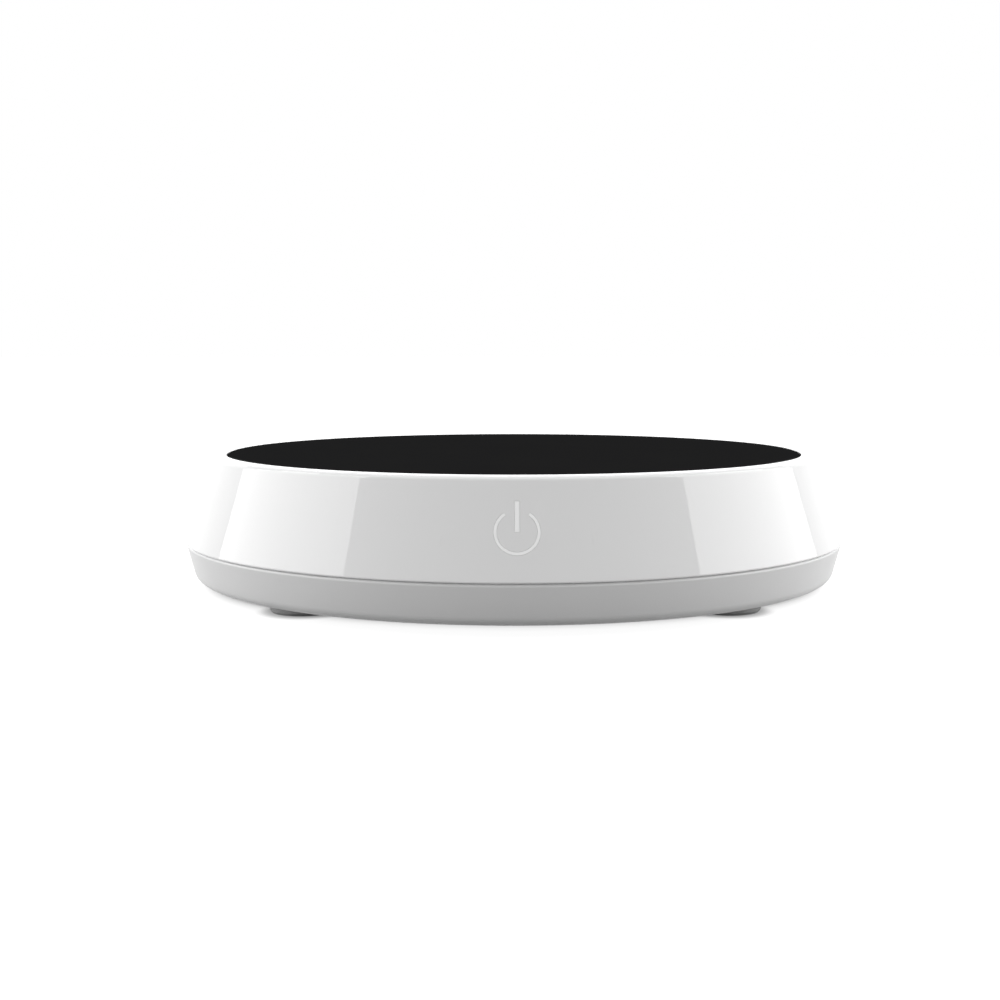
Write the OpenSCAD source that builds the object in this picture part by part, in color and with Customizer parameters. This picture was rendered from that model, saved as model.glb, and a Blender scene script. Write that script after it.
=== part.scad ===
// Electric mug warmer: a low round case with a glass warming plate, a touch key on the front
// and a direct-current inlet at the back.
// Millimetres, +Z up, feet on z = 0, front towards -Y, axis of the case on the Z axis.

/* [Case] */
// Diameter of the case at the seam, its widest place
case_d = 130; // [124:1:150]
// Height of the seam between the two shells above the table
seam_z = 9.3; // [8.4:0.1:13]
// Height of the rim above the seam
upper_h = 16.6; // [16:0.1:22]
// Lean of the upper wall from the vertical, in degrees
upper_lean = 17.2; // [8:0.2:20]
// Lean of the lower wall from the vertical, in degrees
lower_lean = 14.5; // [8:0.5:20]
// Thickness of the upper shell's wall
upper_wall = 2.2; // [1.8:0.1:2.8]
// Thickness of the lower shell's wall
lower_wall = 2; // [1.6:0.1:2.6]
// Thickness of the lower shell's floor
floor_t = 2; // [1.8:0.1:2.6]
// Gap that shows between the two shells
seam_gap = 0.1; // [0.1:0.05:0.6]
// How far the lower shell stands back from the upper one at the seam
seam_step = 0.2; // [0.2:0.1:1]
// Radius of the lower shell's outer edge at the seam
seam_round = 0.4; // [0.2:0.05:0.6]
// Height of the upright band above the seam
band_h = 0.3; // [0.3:0.1:1.5]
// Radius of the rim's outer edge
rim_round = 1; // [0.4:0.1:1.4]
// Radius of the lower shell's bottom edge
base_round = 2; // [0.8:0.1:2.4]
// Radius of the small edges of the upper shell and of the tongue
edge_round = 0.2; // [0.1:0.05:0.3]
// Height of the locating tongue above the seam
tongue_h = 2.4; // [1.6:0.1:3.2]
// Thickness of the locating tongue
tongue_t = 1.5; // [1:0.1:2]
// Side clearance of the locating tongue
tongue_gap = 0.3; // [0.2:0.05:0.5]

/* [Glass plate] */
// Width of the rim round the glass, out to the corner of the wall
rim_w = 3.2; // [2.4:0.1:5]
// Clearance round the glass
glass_gap = 0.2; // [0.1:0.05:0.4]
// Thickness of the glass
glass_t = 3; // [2.6:0.1:4]
// Bevel on the edges of the glass
glass_bevel = 0.3; // [0.1:0.05:0.5]
// How far the rim stands above the glass
rim_proud = 0; // [0:0.05:0.4]
// Thickness of the silicone ring under the glass
seal_t = 0.5; // [0.3:0.05:0.7]
// Width of the silicone ring
seal_w = 3; // [2:0.1:4]
// Width of the ledge that carries the glass
ledge_w = 5.9; // [5:0.1:8]
// Thickness of that ledge
ledge_t = 2; // [1.6:0.1:2.4]

/* [Underside] */
// Diameter of the shallow round field for a rating label
label_d = 56; // [30:1:70]
// Depth of that field
label_sink = 0.3; // [0.2:0.1:0.6]

/* [Feet] */
// Diameter of each foot
foot_d = 12; // [9:0.5:14]
// Height of the case's underside above the table
foot_drop = 2; // [1.6:0.1:2.6]
// Depth of the pocket that holds each foot
foot_pocket = 1; // [0.6:0.1:1.2]
// Distance from the widest edge of the case to the middle of a foot
foot_inset = 12; // [10:0.5:16]
// Side clearance of a foot in its pocket
foot_gap = 0.1; // [0.05:0.05:0.2]
// Bevel round the bottom of each foot
foot_bevel = 0.6; // [0.2:0.1:0.9]

/* [Case screws] */
// Distance from the widest edge of the case to the middle of a case screw
boss_inset = 11; // [10:0.5:14]
// Angle between the X axis and each case screw, in degrees
boss_angle = 20; // [14:1:26]
// Diameter of the upper screw bosses
boss_d = 7.2; // [6.4:0.1:8]
// Diameter of the counterbored tubes in the lower shell
tube_d = 9; // [8.6:0.1:10]
// Diameter of a case screw's shank
screw_d = 2.8; // [2.4:0.1:3.2]
// Length of a case screw under its head
screw_len = 11; // [9:0.5:13]
// Diameter of a case screw's head
screw_head_d = 5.5; // [4.8:0.1:6]
// Height of a case screw's head
screw_head_h = 1.8; // [1.4:0.1:2]
// Depth of the head below the underside
screw_sink = 0.7; // [0.4:0.1:1]
// Radial clearance round the screws
screw_gap = 0.1; // [0.05:0.05:0.2]

/* [Heater] */
// Distance from the ledge's edge in to the aluminium plate that spreads the heat
spreader_inset = 9; // [6:0.5:14]
// Thickness of that plate
spreader_t = 1.5; // [1:0.1:2]
// Distance from the edge of that plate in to the edge of the heating film
film_inset = 2; // [1:0.5:6]
// Thickness of the heating film
film_t = 0.4; // [0.3:0.1:0.6]
// Thickness of the insulating pad
pad_t = 3; // [2.4:0.1:3.4]
// Thickness of the clamp plate under the pad
clamp_t = 1; // [0.8:0.1:1.4]
// Width of the clamp plate's edge outside the heat spreader
clamp_edge = 2; // [1:0.5:3]
// Width of each clamp arm
clamp_arm_w = 8; // [6.5:0.5:10]
// Diameter of the bosses that carry the clamp arms
clamp_boss_d = 6; // [5.2:0.2:7]
// Diameter of the clamp screws
clamp_screw_d = 2.2; // [1.8:0.1:2.6]
// Length of the clamp screws under the head
clamp_screw_len = 4; // [3:0.5:4.5]

/* [Sensors] */
// Diameter of the thermistor
thermistor_d = 2.6; // [2:0.1:3]
// Length of the thermistor
thermistor_len = 5; // [4:0.5:6]
// Diameter of the thermal fuse
fuse_d = 3.6; // [3:0.1:4]
// Length of the thermal fuse's barrel
fuse_len = 9; // [7:0.5:11]
// Distance from the control board's back edge to the heater's leads
heater_lead_in = 22.5; // [20:0.5:26]
// Clearance round sensors and leads in the pad
pad_hole_gap = 0.5; // [0.3:0.1:0.8]

/* [Control board] */
// Width of the control board
board_w = 52; // [46:1:60]
// Depth of the control board
board_l = 38; // [34:1:44]
// Thickness of the control board
board_t = 1.6; // [1:0.2:2]
// Diameter of the posts under the control board
post_d = 5.6; // [5:0.2:7]
// Distance from the board's edges to its screws
post_inset = 3.5; // [3:0.25:5]
// Diameter of the board's screws
board_screw_d = 2.2; // [1.8:0.1:2.4]
// Length of the board's screws under the head
board_screw_len = 5; // [4:0.5:5.5]
// Height of the plug-in headers on the board
header_h = 4; // [3.6:0.1:4.2]
// Width of those headers
header_w = 6; // [5:0.5:7]
// Depth of those headers
header_l = 5; // [4:0.5:6]

/* [Board components] */
// Width of the main chip
chip_w = 10; // [6:1:12]
// Depth of the main chip
chip_l = 4; // [3:0.5:6]
// Height of the main chip
chip_h = 1.5; // [1:0.1:2]
// Width of the power transistor
transistor_w = 6.5; // [5:0.5:8]
// Depth of the power transistor
transistor_l = 6.1; // [5:0.1:8]
// Height of the power transistor
transistor_h = 2.3; // [1.5:0.1:3]
// Side of the inductor
inductor_w = 7; // [5:0.5:8]
// Height of the inductor
inductor_h = 4; // [2:0.5:5]
// Diameter of the smoothing capacitors
capacitor_d = 6.3; // [5:0.1:7]
// Height of the smoothing capacitors
capacitor_h = 5.4; // [4:0.1:5.6]
// Distance between the middles of the smoothing capacitors
capacitor_pitch = 8; // [7.4:0.1:9]
// Width of the chip resistors
resistor_w = 1.2; // [0.8:0.1:1.6]
// Length of the chip resistors
resistor_l = 2; // [1.6:0.1:3.2]
// Height of the chip resistors
resistor_h = 0.5; // [0.4:0.1:0.8]
// Distance between the middles of the chip resistors
resistor_pitch = 2.5; // [2:0.1:3]
// Number of chip resistors
resistor_count = 5; // [2:1:6]

/* [Inlet] */
// Diameter of the inlet's centre pin
jack_pin_d = 2.1; // [1.3:0.1:2.5]
// Diameter of the barrel plug that fits the inlet
plug_d = 5.5; // [5.3:0.1:5.7]
// Clearance round the barrel plug in the inlet's bore
plug_gap = 0.25; // [0.1:0.05:0.35]
// Depth of the inlet's bore
jack_bore_l = 10; // [9:0.5:10.5]
// How far the centre pin's tip lies behind the mouth of the bore
jack_pin_back = 1; // [0.5:0.1:2]
// Diameter of the inlet's nose
jack_nose_d = 8; // [7.6:0.1:8.6]
// Width of the inlet's body
jack_w = 9; // [8.8:0.1:10]
// Height of the inlet's body
jack_h = 9; // [8.8:0.1:9.4]
// Length of the inlet's body and nose
jack_l = 14; // [13:0.5:15]
// How far the inlet's body stands out past the control board
jack_overhang = 6.3; // [5:0.1:8]
// Width of the recess round the inlet
inlet_w = 14; // [11:0.5:18]
// Height of the recess round the inlet
inlet_h = 9.2; // [8.8:0.1:9.6]
// Depth of that recess at its top edge
inlet_sink = 0.5; // [0.2:0.1:1]
// Thickness of the wall that the nose passes through
inlet_wall = 2; // [1.6:0.1:2.4]
// Clearance round the inlet
jack_gap = 0.2; // [0.1:0.05:0.3]

/* [Touch key] */
// Height of the power symbol's middle above the seam
symbol_up = 8; // [7.2:0.1:9]
// Outer diameter of the power symbol's ring
symbol_d = 7.5; // [5:0.1:9]
// Width of the ring's stroke
symbol_stroke = 0.5; // [0.4:0.05:1]
// Width of the symbol's bar
symbol_bar_w = 0.8; // [0.5:0.05:1.2]
// Height of the bar above the middle of the ring
symbol_bar_h = 5; // [3:0.1:5.4]
// Half of the ring's opening, in degrees
symbol_open = 34; // [28:1:50]
// Depth of the inlaid symbol
symbol_t = 0.8; // [0.5:0.1:1.2]
// Clearance round the inlaid symbol
symbol_gap = 0.03; // [0.02:0.01:0.05]
// Distance of the touch spring's axis below the symbol's middle
key_drop = 1.2; // [0.8:0.1:2]
// Width of the touch board
key_board_w = 26; // [24:1:30]
// Height of the touch board
key_board_h = 9; // [8:0.5:9.5]
// Thickness of the touch board
key_board_t = 1; // [0.8:0.1:1.6]
// Diameter of the touch spring
spring_d = 6; // [5:0.25:6.5]
// Diameter of the touch spring's wire
spring_wire_d = 0.5; // [0.4:0.05:0.7]
// Length of the touch spring between the board and the wall
spring_l = 5; // [4:0.25:5.5]
// Turns of the touch spring
spring_turns = 4; // [3:1:5]
// Distance of the touch board's screws from its middle
key_post_x = 10; // [8:0.5:10.5]
// Diameter of the touch board's posts
key_post_d = 4.4; // [4:0.2:5]
// Diameter of the touch board's screws
key_screw_d = 1.6; // [1.4:0.1:1.8]

/* [Wiring] */
// Diameter of the heater's leads
lead_d = 1.6; // [1.2:0.1:1.8]
// Diameter of the sensors' leads
sensor_lead_d = 0.9; // [0.6:0.1:1.1]
// Width of the touch board's ribbon
ribbon_w = 5; // [4:0.5:5.5]
// Thickness of that ribbon
ribbon_t = 0.8; // [0.6:0.1:1]

/* [Hidden] */
$fn = 96;
EPS = 0.01;
BEND_RATIO = 1.03;

// Case levels and radii
case_r = case_d / 2;
case_h = seam_z + upper_h;
upper_z = seam_z + seam_gap / 2;
lower_z = seam_z - seam_gap / 2;
band_z = upper_z + band_h;
under_z = foot_drop;
floor_z = under_z + floor_t;
lower_r = case_r - seam_step;
base_r = lower_r - (lower_z - under_z) * tan(lower_lean);
rim_r = outer_r(case_h);
pocket_r = rim_r - rim_w;
glass_z = case_h - rim_proud;
glass_under_z = glass_z - glass_t;
seat_z = glass_under_z - seal_t;
ledge_z = seat_z - ledge_t;
ledge_r = pocket_r - ledge_w;
glass_r = pocket_r - glass_gap;
tongue_z = seam_z + tongue_h;
tongue_r = inner_r(tongue_z) - tongue_gap;
tongue_root_z = lower_z - tongue_h;

// Rings of feet, screws and clamp arms
foot_ring = case_r - foot_inset;
boss_ring = case_r - boss_inset;
foot_angles = [225, 315, 135, 45];
boss_angles = [boss_angle, 180 - boss_angle, 180 + boss_angle, 360 - boss_angle];
clamp_angles = [45, 135, 225, 315];
head_seat_z = under_z + screw_sink + screw_head_h;
pilot_spare = 1;
pilot_top_z = head_seat_z + screw_len + pilot_spare;

// Heater stack, from the glass down
film_z = glass_under_z - spreader_t;
pad_z = film_z - film_t;
clamp_z = pad_z - pad_t;
clamp_under_z = clamp_z - clamp_t;
spreader_r = ledge_r - spreader_inset;
film_r = spreader_r - film_inset;
clamp_r = spreader_r + clamp_edge;
small_head_h = 1.2;
small_head_ratio = 1.9;

// Inlet and control board
jack_z = (upper_z + ledge_z) / 2;
inlet_y = outer_r(jack_z + inlet_h / 2) - inlet_sink;
nose_y = inlet_y - jack_gap;
block_y = inlet_y - inlet_wall;
nose_l = nose_y - block_y + jack_gap;
block_margin = 0.5;
block_w = inlet_w + 2 * block_margin;
board_top_z = jack_z - jack_h / 2;
board_z = board_top_z - board_t;
board_back_y = nose_y - nose_l - jack_overhang;
board_mid_y = board_back_y - board_l / 2;
post_x = board_w / 2 - post_inset;
post_y = board_l / 2 - post_inset;
jack_pin_r = jack_pin_d / 2;
jack_root_r = jack_pin_r * 0.8;
jack_bore_r = plug_d / 2 + plug_gap;
jack_tip = 0.4;
tail_w = 1.6;
tail_t = 0.4;
contact_back = nose_l + 1;

// Touch key, in the frame of the front wall
symbol_z = seam_z + symbol_up;
spring_gap = 0.15;
key_board_face = -upper_wall - spring_gap - spring_l;
led_w = 2;
led_l = 1.25;
led_h = 0.8;
wall_frame_r = outer_r(symbol_z);

// Places on the control board
edge_margin = 1;
heater_lead_y = board_back_y - heater_lead_in;
touch_header_y = board_mid_y - board_l / 2 + header_l / 2 + edge_margin;
sensor_header_x = -2 * header_w;
capacitor_x = board_w / 2 - capacitor_d / 2 - 2 * edge_margin;
capacitor_y = board_mid_y + board_l / 2 - post_inset - board_screw_d - capacitor_d / 2 - edge_margin;
inductor_x = capacitor_x - capacitor_d / 2 - inductor_w / 2 - 4 * edge_margin;
chip_x = header_w / 2 + chip_w / 2 + 4 * edge_margin;
chip_y = (heater_lead_y + touch_header_y) / 2;
resistor_x = post_x - board_screw_d - resistor_w / 2 - edge_margin;
resistor_y = touch_header_y;
transistor_x = -post_x + board_screw_d + transistor_w / 2 + edge_margin;

// Thermal fuse, beside the heater's leads
fuse_x = -1.5 * header_w;
fuse_y = heater_lead_y - 2 * fuse_len;
fuse_bend = 2;

// Radius of the upper wall's outside at height z
function outer_r(z) = case_r - max(0, z - band_z) * tan(upper_lean);

// Radius of the upper wall's inside at height z
function inner_r(z) = outer_r(z) - upper_wall / cos(upper_lean);

// Radius of the lower wall's outside at height z
function lower_outer_r(z) = lower_r - (lower_z - z) * tan(lower_lean);

// Direction from one point to another, of length one
function towards(a, b) = (b - a) / norm(b - a);

// Points of the arc that rounds corner b between a and c
function corner(a, b, c, r) =
    let (
        u = towards(b, a),
        v = towards(b, c),
        half = acos(u * v) / 2,
        middle = b + towards([0, 0], u + v) * r / sin(half),
        p = b + u * r / tan(half) - middle,
        q = b + v * r / tan(half) - middle,
        start = atan2(p.y, p.x),
        sweep = (atan2(q.y, q.x) - start + 540) % 360 - 180,
        steps = 8
    )
    [for (i = [0:steps]) middle + r * [cos(start + sweep * i / steps), sin(start + sweep * i / steps)]];

// Outline through [x, y, radius] points, each corner rounded by its own radius
function rounded(list) =
    let (n = len(list), flat = [for (p = list) [p.x, p.y]])
    [for (i = [0:n - 1]) each (list[i].z > 0
        ? corner(flat[(i + n - 1) % n], flat[i], flat[(i + 1) % n], list[i].z)
        : [flat[i]])];

// The line at distance off to the left of a path, as [x, y, radius] points with bends of middle radius bend
function beside(points, off, bend) =
    let (last = len(points) - 1)
    [for (i = [0:last])
        let (
            before = towards(points[max(i, 1) - 1], points[max(i, 1)]),
            after = towards(points[min(i, last - 1)], points[min(i, last - 1) + 1]),
            side = [-before.y, before.x] + [-after.y, after.x],
            place = points[i] + side * off * 2 / (side * side),
            turn = sign(before.x * after.y - before.y * after.x)
        )
        [place.x, place.y, i == 0 || i == last ? 0 : bend - turn * off]];

// Solid of revolution from a rounded outline
module turned(list) {
    rotate_extrude()
        polygon(rounded(list));
}

// Disc from z0 up to z1
module disc(r, z0, z1) {
    translate([0, 0, z0])
        cylinder(r = r, h = z1 - z0);
}

// Upright block centred on x and y, from z0 up to z1
module block(w, l, z0, z1) {
    translate([-w / 2, -l / 2, z0])
        cube([w, l, z1 - z0]);
}

// Copies of the children on a ring round the Z axis
module ring_at(r, angles) {
    for (a = angles)
        rotate([0, 0, a])
            translate([r, 0, 0])
                children();
}

// Round rod between two points
module rod(a, b, r) {
    d = b - a;
    translate(a)
        rotate([0, acos(d.z / norm(d)), atan2(d.y, d.x)])
            cylinder(h = norm(d), r = r, $fn = 24);
}

// Round wire through a list of points, with a ball at each bend
module wire(points, r) {
    for (i = [0:len(points) - 2])
        rod(points[i], points[i + 1], r);
    for (i = [1:len(points) - 2])
        translate(points[i])
            sphere(r = r * BEND_RATIO, $fn = 24);
}

// Flat strip of width w and thickness t along points of the YZ plane, with rounded bends
module strip(points, w, t) {
    last = len(points) - 1;
    near = beside(points, t / 2, t);
    far = beside(points, -t / 2, t);
    rotate([90, 0, 90])
        translate([0, 0, -w / 2])
            linear_extrude(height = w)
                polygon(rounded(concat(near, [for (i = [last:-1:0]) far[i]])));
}

// Screw with its head's seat at z = 0, shank up, head below, and a cross recess
module screw(d, len, head_d, head_h) {
    cross_w = head_d * 0.18;
    cross_l = head_d * 0.62;
    cross_h = head_h * 0.55;
    difference() {
        turned([
            [0, -head_h, 0],
            [head_d / 2, -head_h, head_h * 0.35],
            [head_d / 2, 0, 0],
            [d / 2, 0, 0],
            [d / 2, len - d / 2, 0],
            [d / 8, len, 0],
            [0, len, 0]
        ]);
        block(cross_w, cross_l, -head_h - EPS, cross_h - head_h);
        block(cross_l, cross_w, -head_h - EPS, cross_h - head_h);
    }
}

// Small screw, with its head in proportion to its shank
module small_screw(d, len) {
    screw(d, len, d * small_head_ratio, small_head_h);
}

// Frame of the front wall: origin on its outside at the symbol, +Z out of it, +Y up along it
module at_wall() {
    translate([0, -wall_frame_r, symbol_z])
        rotate([90 - upper_lean, 0, 0])
            children();
}

// Frame of the inlet: origin at the mouth of its nose, +Z out of the case, +Y down
module at_jack() {
    translate([0, nose_y, jack_z])
        rotate([-90, 0, 0])
            children();
}

// Rectangle with round ends, w wide and h high
module slot_shape(w, h) {
    square([w - h, h], center = true);
    for (side = [-1, 1])
        translate([side * (w - h) / 2, 0])
            circle(d = h);
}

// The power symbol as a solid h high with its underside at z = 0, grown by the clearance g
module symbol_solid(g, h) {
    inside_r = symbol_d / 2 - symbol_stroke;
    rotate([0, 0, 90 + symbol_open])
        rotate_extrude(angle = 360 - 2 * symbol_open)
            translate([inside_r - g, 0])
                square([symbol_stroke + 2 * g, h]);
    translate([-symbol_bar_w / 2 - g, -g, 0])
        cube([symbol_bar_w + 2 * g, symbol_bar_h + 2 * g, h]);
}

// The cone that the outside of the upper wall lies on
module wall_cone() {
    translate([0, 0, band_z])
        cylinder(r1 = case_r, r2 = rim_r, h = case_h - band_z, $fn = 360);
}

// Wall, rim and glass ledge of the upper shell
module upper_skin() {
    turned([
        [inner_r(upper_z), upper_z, 0],
        [case_r, upper_z, edge_round],
        [case_r, band_z, 0],
        [rim_r, case_h, rim_round],
        [pocket_r, case_h, edge_round],
        [pocket_r, seat_z, 0],
        [ledge_r, seat_z, 0],
        [ledge_r, ledge_z, 0],
        [inner_r(ledge_z), ledge_z, 0],
        [inner_r(band_z), band_z, 0]
    ]);
}

// Thick part of the back wall behind the inlet's recess
module inlet_block() {
    intersection() {
        translate([-block_w / 2, block_y, upper_z])
            cube([block_w, case_r - block_y, ledge_z - upper_z + ledge_t / 2]);
        translate([0, 0, upper_z])
            cylinder(r1 = case_r - upper_wall / 2, r2 = rim_r - upper_wall / 2, h = case_h - upper_z);
    }
}

module upper_shell() {
    color("whitesmoke")
    difference() {
        union() {
            upper_skin();
            ring_at(boss_ring, boss_angles)
                disc(boss_d / 2, seam_z, ledge_z + EPS);
            ring_at(boss_ring, clamp_angles)
                disc(clamp_boss_d / 2, clamp_z, ledge_z + EPS);
            inlet_block();
            for (side = [-1, 1])
                at_wall()
                    translate([side * key_post_x, -key_drop, key_board_face])
                        cylinder(d = key_post_d, h = -key_board_face - upper_wall / 2, $fn = 48);
        }
        ring_at(boss_ring, boss_angles)
            disc(screw_d / 2 + screw_gap, seam_z - EPS, pilot_top_z);
        ring_at(boss_ring, clamp_angles)
            disc(clamp_screw_d / 2 + screw_gap, clamp_z - EPS, clamp_under_z + clamp_screw_len + screw_gap);
        translate([0, inlet_y, jack_z])
            rotate([-90, 0, 0])
                linear_extrude(height = case_r)
                    slot_shape(inlet_w, inlet_h);
        translate([0, block_y - EPS, jack_z])
            rotate([-90, 0, 0])
                cylinder(d = jack_nose_d + 2 * jack_gap, h = inlet_wall + 2 * EPS);
        for (side = [-1, 1])
            at_wall()
                translate([side * key_post_x, -key_drop, key_board_face - EPS])
                    cylinder(d = key_screw_d + 2 * screw_gap, h = spring_l - key_screw_d, $fn = 32);
        at_wall()
            translate([0, 0, -symbol_t - symbol_gap])
                symbol_solid(symbol_gap, symbol_t * 3);
    }
}

module power_symbol() {
    color("ghostwhite")
    intersection() {
        at_wall()
            translate([0, 0, -symbol_t])
                symbol_solid(0, symbol_t * 3);
        wall_cone();
    }
}

module lower_shell() {
    inner_floor_r = lower_outer_r(floor_z) - lower_wall;
    inner_root_r = lower_outer_r(tongue_root_z - tongue_t) - lower_wall;
    color("gainsboro")
    difference() {
        union() {
            turned([
                [0, under_z, 0],
                [base_r, under_z, base_round],
                [lower_r, lower_z, seam_round],
                [tongue_r, lower_z, 0],
                [tongue_r, tongue_z, edge_round],
                [tongue_r - tongue_t, tongue_z, edge_round],
                [tongue_r - tongue_t, tongue_root_z, 0],
                [inner_root_r, max(floor_z + EPS, tongue_root_z - tongue_t), 0],
                [inner_floor_r, floor_z, 0],
                [0, floor_z, 0]
            ]);
            ring_at(boss_ring, boss_angles)
                disc(tube_d / 2, under_z + EPS, seam_z);
            translate([0, board_mid_y, 0])
                for (x = [-post_x, post_x], y = [-post_y, post_y])
                    translate([x, y, 0])
                        disc(post_d / 2, floor_z - EPS, board_z);
        }
        ring_at(boss_ring, boss_angles) {
            disc(screw_head_d / 2 + 3 * screw_gap, under_z - EPS, head_seat_z);
            disc(screw_d / 2 + 2 * screw_gap, under_z, seam_z + EPS);
        }
        ring_at(foot_ring, foot_angles)
            disc(foot_d / 2 + foot_gap, under_z - EPS, under_z + foot_pocket);
        disc(label_d / 2, under_z - EPS, under_z + label_sink);
        translate([0, board_mid_y, 0])
            for (x = [-post_x, post_x], y = [-post_y, post_y])
                translate([x, y, 0])
                    disc(board_screw_d / 2 + screw_gap, board_top_z - board_screw_len - screw_gap, board_z + EPS);
        translate([-block_w / 2 - tongue_gap, 0, lower_z])
            cube([block_w + 2 * tongue_gap, case_r, tongue_h * 2]);
    }
}

module glass_plate() {
    color([0.06, 0.06, 0.07])
    turned([
        [0, glass_under_z, 0],
        [glass_r - glass_bevel, glass_under_z, 0],
        [glass_r, glass_under_z + glass_bevel, 0],
        [glass_r, glass_z - glass_bevel, 0],
        [glass_r - glass_bevel, glass_z, 0],
        [0, glass_z, 0]
    ]);
}

module glass_seal_ring() {
    seal_r = (ledge_r + pocket_r) / 2;
    color("lightgray")
    difference() {
        disc(seal_r + seal_w / 2, seat_z, glass_under_z);
        disc(seal_r - seal_w / 2, seat_z - EPS, glass_under_z + EPS);
    }
}

// One rubber foot on the foot ring, with its bottom on the table
module foot(angle) {
    color("silver")
    ring_at(foot_ring, [angle])
        turned([
            [0, 0, 0],
            [foot_d / 2 - foot_bevel, 0, 0],
            [foot_d / 2, foot_bevel, 0],
            [foot_d / 2, under_z + foot_pocket, 0],
            [0, under_z + foot_pocket, 0]
        ]);
}

module foot_front_left() {
    foot(foot_angles[0]);
}

module foot_front_right() {
    foot(foot_angles[1]);
}

module foot_rear_left() {
    foot(foot_angles[2]);
}

module foot_rear_right() {
    foot(foot_angles[3]);
}

module case_screws() {
    color("dimgray")
    ring_at(boss_ring, boss_angles)
        translate([0, 0, head_seat_z])
            screw(screw_d, screw_len, screw_head_d, screw_head_h);
}

module heat_spreader() {
    color("silver")
    disc(spreader_r, film_z, glass_under_z);
}

module heating_film() {
    color("orange")
    disc(film_r, pad_z, film_z);
}

module insulating_pad() {
    color("white")
    difference() {
        disc(spreader_r, clamp_z, pad_z);
        pad_holes();
    }
}

// Holes for the sensors and leads through the pad and the clamp plate
module pad_holes() {
    low = clamp_under_z - EPS;
    high = pad_z + EPS;
    disc(thermistor_d / 2 + pad_hole_gap, low, high);
    for (side = [-1, 1])
        translate([side * header_w / 4, heater_lead_y, 0])
            disc(lead_d / 2 + pad_hole_gap, low, high);
    translate([fuse_x, fuse_y + fuse_len / 2, 0])
        block(fuse_d + 2 * pad_hole_gap, fuse_len + 2 * (fuse_bend + sensor_lead_d), low, high);
}

module heater_clamp_plate() {
    color("lightsteelblue")
    difference() {
        union() {
            disc(clamp_r, clamp_under_z, clamp_z);
            for (a = clamp_angles)
                rotate([0, 0, a])
                    translate([0, -clamp_arm_w / 2, clamp_under_z])
                        cube([boss_ring, clamp_arm_w, clamp_t]);
            ring_at(boss_ring, clamp_angles)
                disc(clamp_arm_w / 2, clamp_under_z, clamp_z);
        }
        ring_at(boss_ring, clamp_angles)
            disc(clamp_screw_d / 2 + 2 * screw_gap, clamp_under_z - EPS, clamp_z + EPS);
        pad_holes();
    }
}

module clamp_screws() {
    color("dimgray")
    ring_at(boss_ring, clamp_angles)
        translate([0, 0, clamp_under_z])
            small_screw(clamp_screw_d, clamp_screw_len);
}

module thermistor() {
    color("black")
    disc(thermistor_d / 2, pad_z - thermistor_len, pad_z);
}

module thermal_fuse() {
    color("goldenrod")
    translate([fuse_x, fuse_y, pad_z - fuse_d / 2])
        rotate([-90, 0, 0])
            cylinder(d = fuse_d, h = fuse_len, $fn = 48);
}

module control_board() {
    color("seagreen")
    translate([0, board_mid_y, 0])
        difference() {
            block(board_w, board_l, board_z, board_top_z);
            for (x = [-post_x, post_x], y = [-post_y, post_y])
                translate([x, y, 0])
                    disc(board_screw_d / 2 + 2 * screw_gap, board_z - EPS, board_top_z + EPS);
        }
}

module board_screws() {
    color("silver")
    translate([0, board_mid_y, board_top_z])
        for (x = [-post_x, post_x], y = [-post_y, post_y])
            translate([x, y, 0])
                mirror([0, 0, 1])
                    small_screw(board_screw_d, board_screw_len);
}

// Body of a component on the control board, centred on x and y of the case
module on_board(x, y, w, l, h) {
    translate([x, y, 0])
        block(w, l, board_top_z, board_top_z + h);
}

module main_chip() {
    color("black")
    on_board(chip_x, chip_y, chip_w, chip_l, chip_h);
}

module power_transistor() {
    color("black")
    on_board(transistor_x, capacitor_y, transistor_w, transistor_l, transistor_h);
}

module inductor() {
    color("dimgray")
    on_board(inductor_x, capacitor_y, inductor_w, inductor_w, inductor_h);
}

module smoothing_capacitors() {
    color("silver")
    for (i = [0, 1])
        translate([capacitor_x, capacitor_y - i * capacitor_pitch, 0])
            disc(capacitor_d / 2, board_top_z, board_top_z + capacitor_h);
}

module chip_resistors() {
    color("black")
    for (i = [0:resistor_count - 1])
        on_board(resistor_x - i * resistor_pitch, resistor_y, resistor_w, resistor_l, resistor_h);
}

module heater_header() {
    color("ivory")
    on_board(0, heater_lead_y, header_w, header_l, header_h);
}

module sensor_header() {
    color("ivory")
    on_board(sensor_header_x, touch_header_y, header_w, header_l, header_h);
}

module touch_header() {
    color("ivory")
    on_board(0, touch_header_y, header_w, header_l, header_h);
}

module jack_housing() {
    color([0.12, 0.12, 0.12])
    at_jack()
        difference() {
            union() {
                disc(jack_nose_d / 2, -nose_l, 0);
                block(jack_w, jack_h, -jack_l, -nose_l);
            }
            disc(jack_bore_r, -jack_bore_l, EPS);
            disc(jack_root_r + screw_gap, -jack_l - EPS, -jack_bore_l + EPS);
            translate([0, jack_h / 4 + EPS, 0])
                block(tail_w + 2 * screw_gap, jack_h / 2, -jack_l - EPS, -contact_back);
        }
}

module jack_centre_pin() {
    tail_drop = jack_h / 2;
    color("silver")
    at_jack() {
        turned([
            [0, -jack_l - tail_t, 0],
            [jack_root_r, -jack_l - tail_t, 0],
            [jack_root_r, -jack_bore_l, 0],
            [jack_pin_r, -jack_bore_l, 0],
            [jack_pin_r, -jack_pin_back - jack_tip, 0],
            [jack_pin_r - jack_tip, -jack_pin_back, 0],
            [0, -jack_pin_back, 0]
        ]);
        translate([0, tail_drop / 2, 0])
            block(tail_w, tail_drop, -jack_l - 2 * tail_t, -jack_l - tail_t + EPS);
        translate([0, tail_drop - tail_t / 2, 0])
            block(tail_w, tail_t, -jack_l - tail_w - 2 * tail_t, -jack_l - tail_t);
    }
}

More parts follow.
